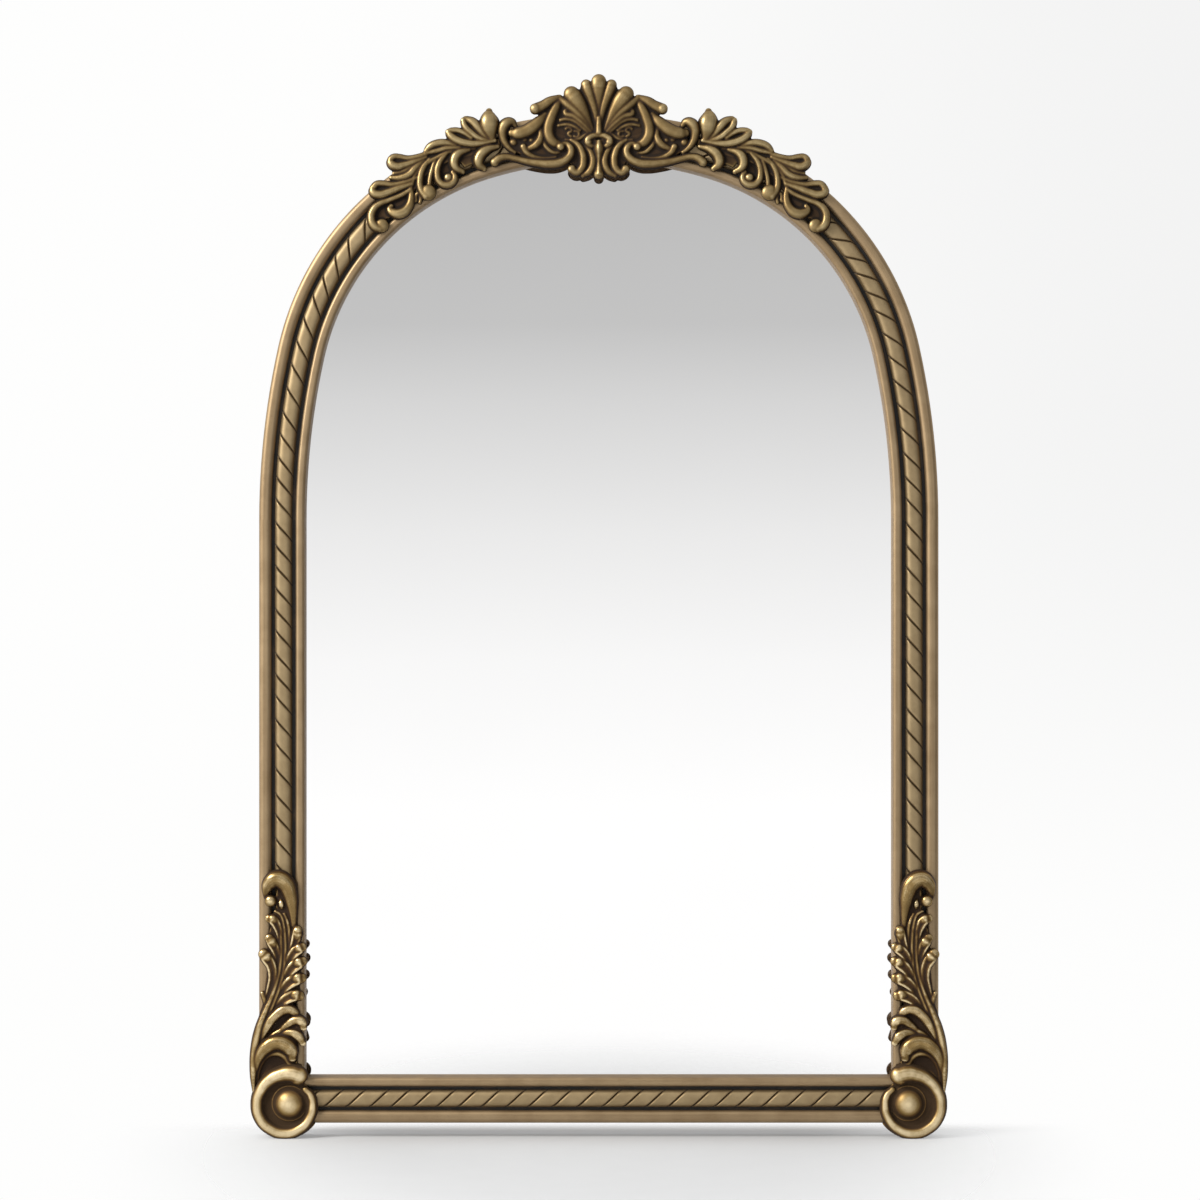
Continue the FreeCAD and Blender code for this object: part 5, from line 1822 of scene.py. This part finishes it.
@dataclass
class Hangers:
    """The metal and soft pieces on the back: screws, straps, D-rings and wall discs."""

    layout: Layout
    head_radius: float = 3.2 * MM
    head_height: float = 1.8 * MM
    shank_radius: float = 1.4 * MM
    shank_length: float = 10.0 * MM
    head_round: float = 0.55
    head_profile: float = 0.6
    recess_width: float = 0.8 * MM
    recess_length: float = 3.4 * MM
    recess_depth: float = 0.9 * MM
    screw_line: float = 14.5 * MM
    stile_shares: tuple[float, ...] = (0.14, 0.5, 0.86)
    arch_shares: tuple[float, ...] = (0.2, 0.5, 0.8)
    rail_shares: tuple[float, ...] = (-0.6, 0.0, 0.6)
    strap_width: float = 10.0 * MM
    strap_tongue: float = 10.0 * MM
    strap_thickness: float = 1.0 * MM
    screw_drop: float = 9.0 * MM
    knuckle: float = 2.45 * MM
    wire: float = 1.4 * MM
    leg: float = 8.4 * MM
    ring_drop: float = 26.0 * MM
    ring_corner: float = 3.0 * MM
    plate_edge: float = 0.2 * MM
    roll_edge: float = 0.15 * MM
    disc_edge: float = 1.2 * MM
    head_sides: int = 28
    roll_sides: int = 40
    disc_sides: int = 48
    round_segments: int = 5
    edge_segments: int = 2
    toe_steps: int = 16
    corner_steps: int = 8
    bow_steps: int = 32
    wire_steps: int = 6
    facing_down: float = -0.9
    metal_angle: float = 40.0
    disc_angle: float = 35.0
    seed: int = 5

    def hinge(self) -> Vector:
        """The middle of the left knuckle."""
        low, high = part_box("hanger_plate_left")
        return Vector(((low.x + high.x) / 2, self.layout.back + self.knuckle, high.z - self.knuckle))

    def screw(self) -> bpy.types.Object:
        """One pan-head screw with a cross recess, its seat at the origin, head towards +Y.

        Returns:
            The screw.
        """
        screw = Bench.rod(self.head_sides, self.head_radius, self.head_height,
                          (0.0, 0.0, self.head_height / 2))
        Bench.edit(screw)
        bpy.ops.mesh.select_all(action="DESELECT")
        bpy.ops.object.mode_set(mode="OBJECT")
        for edge in screw.data.edges:
            edge.select = all(screw.data.vertices[v].co.z > self.head_height / 2 for v in edge.vertices)
        bpy.ops.object.mode_set(mode="EDIT")
        bpy.ops.mesh.select_mode(type="EDGE")
        bpy.ops.mesh.bevel(offset=self.head_round * self.head_height, segments=self.round_segments,
                           profile=self.head_profile)
        bpy.ops.mesh.select_mode(type="FACE")
        bpy.ops.mesh.select_all(action="DESELECT")
        bpy.ops.object.mode_set(mode="OBJECT")
        for face in screw.data.polygons:
            face.select = face.normal.z < self.facing_down
        bpy.ops.object.mode_set(mode="EDIT")
        bpy.ops.mesh.inset(thickness=self.head_radius - self.shank_radius)
        bpy.ops.mesh.extrude_region_move(TRANSFORM_OT_translate={"value": (0.0, 0.0, -self.shank_length)})
        bpy.ops.object.mode_set(mode="OBJECT")
        arms = (self.recess_length, self.recess_width)
        for size in (arms, arms[::-1]):
            bpy.ops.mesh.primitive_cube_add(size=1.0, location=(0.0, 0.0, self.head_height))
            slot = bpy.context.object
            slot.scale = (*size, 2.0 * self.recess_depth)
            Bench.settle(slot)
            Bench.apply(screw, "BOOLEAN", operation="DIFFERENCE", object=slot, solver="EXACT")
            bpy.data.objects.remove(slot)
        screw.rotation_euler = (-QUARTER, 0.0, 0.0)
        Bench.settle(screw)
        Bench.smooth(self.metal_angle)
        return screw

    def screw_spots(self) -> list[Spot]:
        """Where the board's screws stand.

        Returns:
            The x and z of each.
        """
        place = self.layout
        spots = [(-place.half_width - self.screw_line,
                  place.sill + share * (place.spring - place.sill)) for share in self.stile_shares]
        run = place.arch_length(self.screw_line)
        spots += [place.from_crown((1.0 - share) * run, self.screw_line, self.screw_line)
                  for share in self.arch_shares]
        spots += [(-x, z) for x, z in spots]
        return spots + [(share * place.half_width, place.sill - self.screw_line)
                        for share in self.rail_shares]

    def screws(self) -> None:
        """All screws, each turned as it was driven."""
        draw = random.Random(self.seed)
        one = self.screw()
        hinge = self.hinge()
        groups = (("board_screws", "backing_screws", self.screw_spots(), self.layout.back),
                  ("strap_screws", "hanger_screws",
                   [(side * hinge.x, hinge.z - self.screw_drop) for side in (1.0, -1.0)],
                   self.layout.back + self.strap_thickness))
        for name, node, spots, seat in groups:
            copies = []
            for index, (x, z) in enumerate(spots):
                turn = Matrix.Rotation(draw.uniform(0.0, math.pi), 4, "Y")
                copies.append(Bench.copy(one, f"{name}_{index}", Matrix.Translation((x, seat, z)) @ turn))
            dress(Bench.join(copies, name), PlatedSteel(), nodes=(node,))
        bpy.data.objects.remove(one)

    def strap(self) -> bpy.types.Object:
        """The left strap: a round-toed plate with its end rolled into a knuckle.

        Returns:
            The strap.
        """
        hinge = self.hinge()
        half = self.strap_width / 2
        edge = [(hinge.x + half, hinge.z), (hinge.x - half, hinge.z)]
        edge += Bench.fan((hinge.x, hinge.z - self.strap_tongue), half, math.pi, 2.0 * math.pi,
                          self.toe_steps)
        plate = Bench.ring("strap", [Vector((x, self.layout.back, z)) for x, z in edge])
        Bench.edit(plate)
        bpy.ops.mesh.edge_face_add()
        bpy.ops.mesh.extrude_region_move(
            TRANSFORM_OT_translate={"value": (0.0, self.strap_thickness, 0.0)})
        Bench.close()
        Bench.bevel(plate, self.plate_edge, self.edge_segments)
        roll = Bench.rod(self.roll_sides, self.knuckle, self.strap_width, hinge, (0.0, QUARTER, 0.0),
                         "NOTHING")
        Bench.apply(roll, "SOLIDIFY", thickness=self.strap_thickness, offset=-1.0)
        Bench.bevel(roll, self.roll_edge, self.edge_segments)
        strap = Bench.join([plate, roll], "left_strap")
        Bench.smooth(self.metal_angle)
        return strap

    def ring(self) -> bpy.types.Object:
        """The left D-ring, hanging from its knuckle.

        Returns:
            The ring.
        """
        hinge = self.hinge()
        corner, leg = self.ring_corner, self.leg
        path = Bench.fan((corner - leg, -corner), corner, math.pi, QUARTER, self.corner_steps)
        path += [(-x, z) for x, z in reversed(path)]
        path += Bench.fan((0.0, leg - self.ring_drop), leg, 0.0, -math.pi, self.bow_steps)
        curve = Bench.outline([(hinge.x + x, hinge.y, hinge.z + z) for x, z in path])
        curve.data.bevel_depth = self.wire
        curve.data.bevel_resolution = self.wire_steps
        bpy.ops.object.convert(target="MESH")
        ring = bpy.context.object
        ring.name = ring.data.name = "left_ring"
        Bench.edit(ring)
        Bench.close()
        bpy.ops.object.shade_smooth()
        return ring

    def wall_discs(self) -> bpy.types.Object:
        """Both soft discs behind the lower corners.

        Returns:
            The discs as one piece.
        """
        low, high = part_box("wall_bumpers")
        height = high.y - self.layout.back
        radius = (high.z - low.z) / 2
        middle = (low.x + radius, self.layout.back + height / 2, (low.z + high.z) / 2)
        disc = Bench.rod(self.disc_sides, radius, height, middle, (QUARTER, 0.0, 0.0))
        Bench.bevel(disc, self.disc_edge, self.round_segments)
        both = Bench.join([disc, Bench.copy(disc, "disc", MIRROR)], "wall_discs")
        Bench.smooth(self.disc_angle)
        return both

    def build(self) -> None:
        """Builds and dresses what is on the back."""
        self.screws()
        plans = ((self.strap, ("frame", "frame"), ("hanger_plate_left", "hanger_plate_right")),
                 (self.ring, ("ring_left", "ring_right"), ("hanger_ring_left", "hanger_ring_right")))
        for make, bodies, nodes in plans:
            piece = make()
            twin = Bench.copy(piece, piece.name.replace("left", "right"), MIRROR)
            for one, body, node in zip((piece, twin), bodies, nodes):
                dress(one, PlatedSteel(), body, (node,))
        dress(self.wall_discs(), SOFT_RUBBER, nodes=("wall_bumpers",))


@dataclass
class Filling:
    """What lies in the frame: glass, card, board and the hidden pegs, kept as packed."""

    def build(self) -> None:
        """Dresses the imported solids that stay."""
        dress_node("mirror_pane", SilveredGlass())
        dress_node("card_sheet", CARD)
        dress_node("backing_board", Fibre())
        dress_node("joint_dowels", Clouded())
        dress_node("ornament_pins", PlatedSteel())


@dataclass
class Studio:
    """The pale floor, the soft light and the camera."""

    layout: Layout
    distance: float = 3.0
    picture_px: float = 1200.0
    centre_px: Spot = (598.8, 600.0)
    sensor: float = 36.0
    key_power: float = 85.0
    key_place: Triple = (-2.1, -1.5, 1.9)
    key_size: float = 1.2
    floor_radius: float = 0.95
    floor_sides: int = 96
    floor_fade: float = 0.36
    floor_spread: Triple = (2.2, 1.3, 1.0)
    floor_grain: float = 30.0
    floor_low: Colour = (0.61, 0.622, 0.64)
    floor_high: Colour = (0.63, 0.642, 0.66)
    floor_rough: float = 0.85
    floor_end: Pair = (0.03, 0.085)
    key_colour: Colour = (1.0, 0.975, 0.93)
    glass_climb: Pair = (-0.06, 0.13)
    glass_stops: tuple[float, ...] = (0.0, 0.22, 0.42, 0.62, 0.74, 1.0)
    glass_light: tuple[float, ...] = (1.05, 0.985, 0.865, 0.70, 0.575, 0.52)
    aside_edge: Pair = (0.04, 0.3)
    room_low: float = 0.34
    room_gain: float = 1.05
    room_lean: Pair = (0.7, 0.55)
    room_edge: Pair = (-0.6, 0.7)
    shade_across: Pair = (-0.1, 0.2)
    shade_climb: Pair = (-0.12, 0.06)
    room_split: Pair = (-0.1, 0.1)
    wall: Colour = (0.99, 0.99, 0.985)
    wall_shade: Colour = (0.895, 0.895, 0.893)

    def camera(self) -> None:
        """Straight on, at the height of the picture's middle."""
        place = self.layout
        height = place.sill + (place.corner_px[1] - self.centre_px[1]) * place.scale
        aside = (self.picture_px / 2 - self.centre_px[0]) * place.scale
        bpy.ops.object.camera_add(location=(aside, -self.distance, height),
                                  rotation=(QUARTER, 0.0, 0.0))
        camera = bpy.context.object
        camera.data.sensor_width = self.sensor
        view_width = self.picture_px * place.scale
        camera.data.lens = self.sensor * (self.distance + place.seat) / view_width
        bpy.context.scene.camera = camera

    def world(self) -> None:
        """A pale room; what the glass and the gold see of it is brighter at the upper left."""
        world = bpy.data.worlds.new("soft room")
        bpy.context.scene.world = world
        world.use_nodes = True
        sheet = Sheet(world.node_tree)
        way = sheet.node("ShaderNodeTexCoord", output="Generated")
        across, climb = sheet.axis(way, "X"), sheet.axis(way, "Z")
        low, high = self.glass_climb
        level = sheet.node("ShaderNodeMapRange", inputs={0: climb, 1: low, 2: high})
        front = sheet.ramp(level, self.glass_stops, [(grey, grey, grey) for grey in self.glass_light])
        aside = (across * across + climb * climb).step(*self.aside_edge)
        up, left = self.room_lean
        lit = self.room_low + self.room_gain * (up * climb - left * across).step(*self.room_edge)
        shade = 1.0 + aside * (lit - 1.0)
        dim = sheet.node("ShaderNodeCombineColor", inputs={0: shade, 1: shade, 2: shade})
        front = sheet.mix(1.0, front, dim, "MULTIPLY")
        side = across.step(*self.shade_across) * climb.step(*self.shade_climb)
        rear = sheet.mix(side, self.wall, self.wall_shade)
        room = sheet.mix(sheet.axis(way, "Y").step(*self.room_split), front, rear)
        seen = sheet.node("ShaderNodeLightPath", output="Is Camera Ray")
        colour = sheet.mix(seen, room, rear)
        shader = sheet.node("ShaderNodeBackground", inputs={"Color": colour, "Strength": 1.0})
        sheet.node("ShaderNodeOutputWorld", inputs={"Surface": shader})

    def floor(self) -> None:
        """A pale disc that fades into the white room."""
        Bench.clear()
        bpy.ops.mesh.primitive_circle_add(vertices=self.floor_sides, radius=self.floor_radius,
                                          fill_type="NGON")
        floor = bpy.context.object
        floor.name = "floor"
        material = bpy.data.materials.new("pale floor")
        material.use_nodes = True
        sheet = Sheet(material.node_tree)
        place = sheet.place()
        wide = sheet.stretch(place, self.floor_spread)
        reach = sheet.node("ShaderNodeVectorMath", {"operation": "LENGTH"}, {0: wide}, output="Value")
        behind = sheet.axis(place, "Y").step(*self.floor_end)
        grain = sheet.noise(place, self.floor_grain, 2.0)
        pale = sheet.mix(grain, self.floor_low, self.floor_high)
        matt = sheet.node("ShaderNodeBsdfPrincipled",
                          inputs={"Base Color": pale, "Roughness": self.floor_rough})
        clear = sheet.node("ShaderNodeBsdfTransparent")
        ahead = 1.0 - reach.step(self.floor_fade, 1.0)
        fade = 1.0 - ahead * (1.0 - behind)
        both = sheet.node("ShaderNodeMixShader", inputs={0: fade, 1: matt, 2: clear})
        sheet.node("ShaderNodeOutputMaterial", inputs={"Surface": both})
        floor.data.materials.append(material)

    def key(self) -> None:
        """One soft light from the upper left."""
        aim = Vector((0.0, 0.0, self.layout.spring)) - Vector(self.key_place)
        bpy.ops.object.light_add(type="AREA", location=self.key_place,
                                 rotation=aim.to_track_quat("-Z", "Y").to_euler())
        light = bpy.context.object
        light.data.energy = self.key_power
        light.data.size = self.key_size
        light.data.color = self.key_colour

    def build(self) -> None:
        """Sets the stage."""
        bpy.context.scene.view_settings.view_transform = "Standard"
        self.camera()
        self.world()
        self.floor()
        self.key()


def main() -> None:
    """Builds the mirror piece by piece, then its stage."""
    logging.basicConfig(level=logging.INFO, format="%(name)s %(message)s")
    layout = Layout()
    Moulding(layout).build()
    RibbonStrip(layout).build()
    Carving(layout, "shell_crest", layout.arch, SHELL_STROKES, SHELL_KNOBS, SHELL_AXIS, SHELL_AXIS_KNOBS,
            CREST_GILT, voxel=0.55 * MM, swell=0.25 * MM, smoothing=5).build("crest_shell")
    Carving(layout, "left_leaf_spray", layout.arch, SPRAY_STROKES, SPRAY_KNOBS, finish=SPRAY_GILT,
            voxel=0.5 * MM).build("crest_spray_left", "crest_spray_right")
    Carving(layout, "left_acanthus", layout.corner, LEAF_STROKES, LEAF_KNOBS, finish=LEAF_GILT,
            voxel=0.5 * MM, swell=0.22 * MM, smoothing=6,
            tail_height=0.28).build("acanthus_left", "acanthus_right")
    FootScroll(layout, "left_foot_volute", layout.corner, SCROLL_STROKES, SCROLL_KNOBS,
               finish=FOOT_GILT).build("foot_scroll_left", "foot_scroll_right")
    Filling().build()
    Hangers(layout).build()
    Studio(layout).build()


if __name__ == "__main__":
    main()
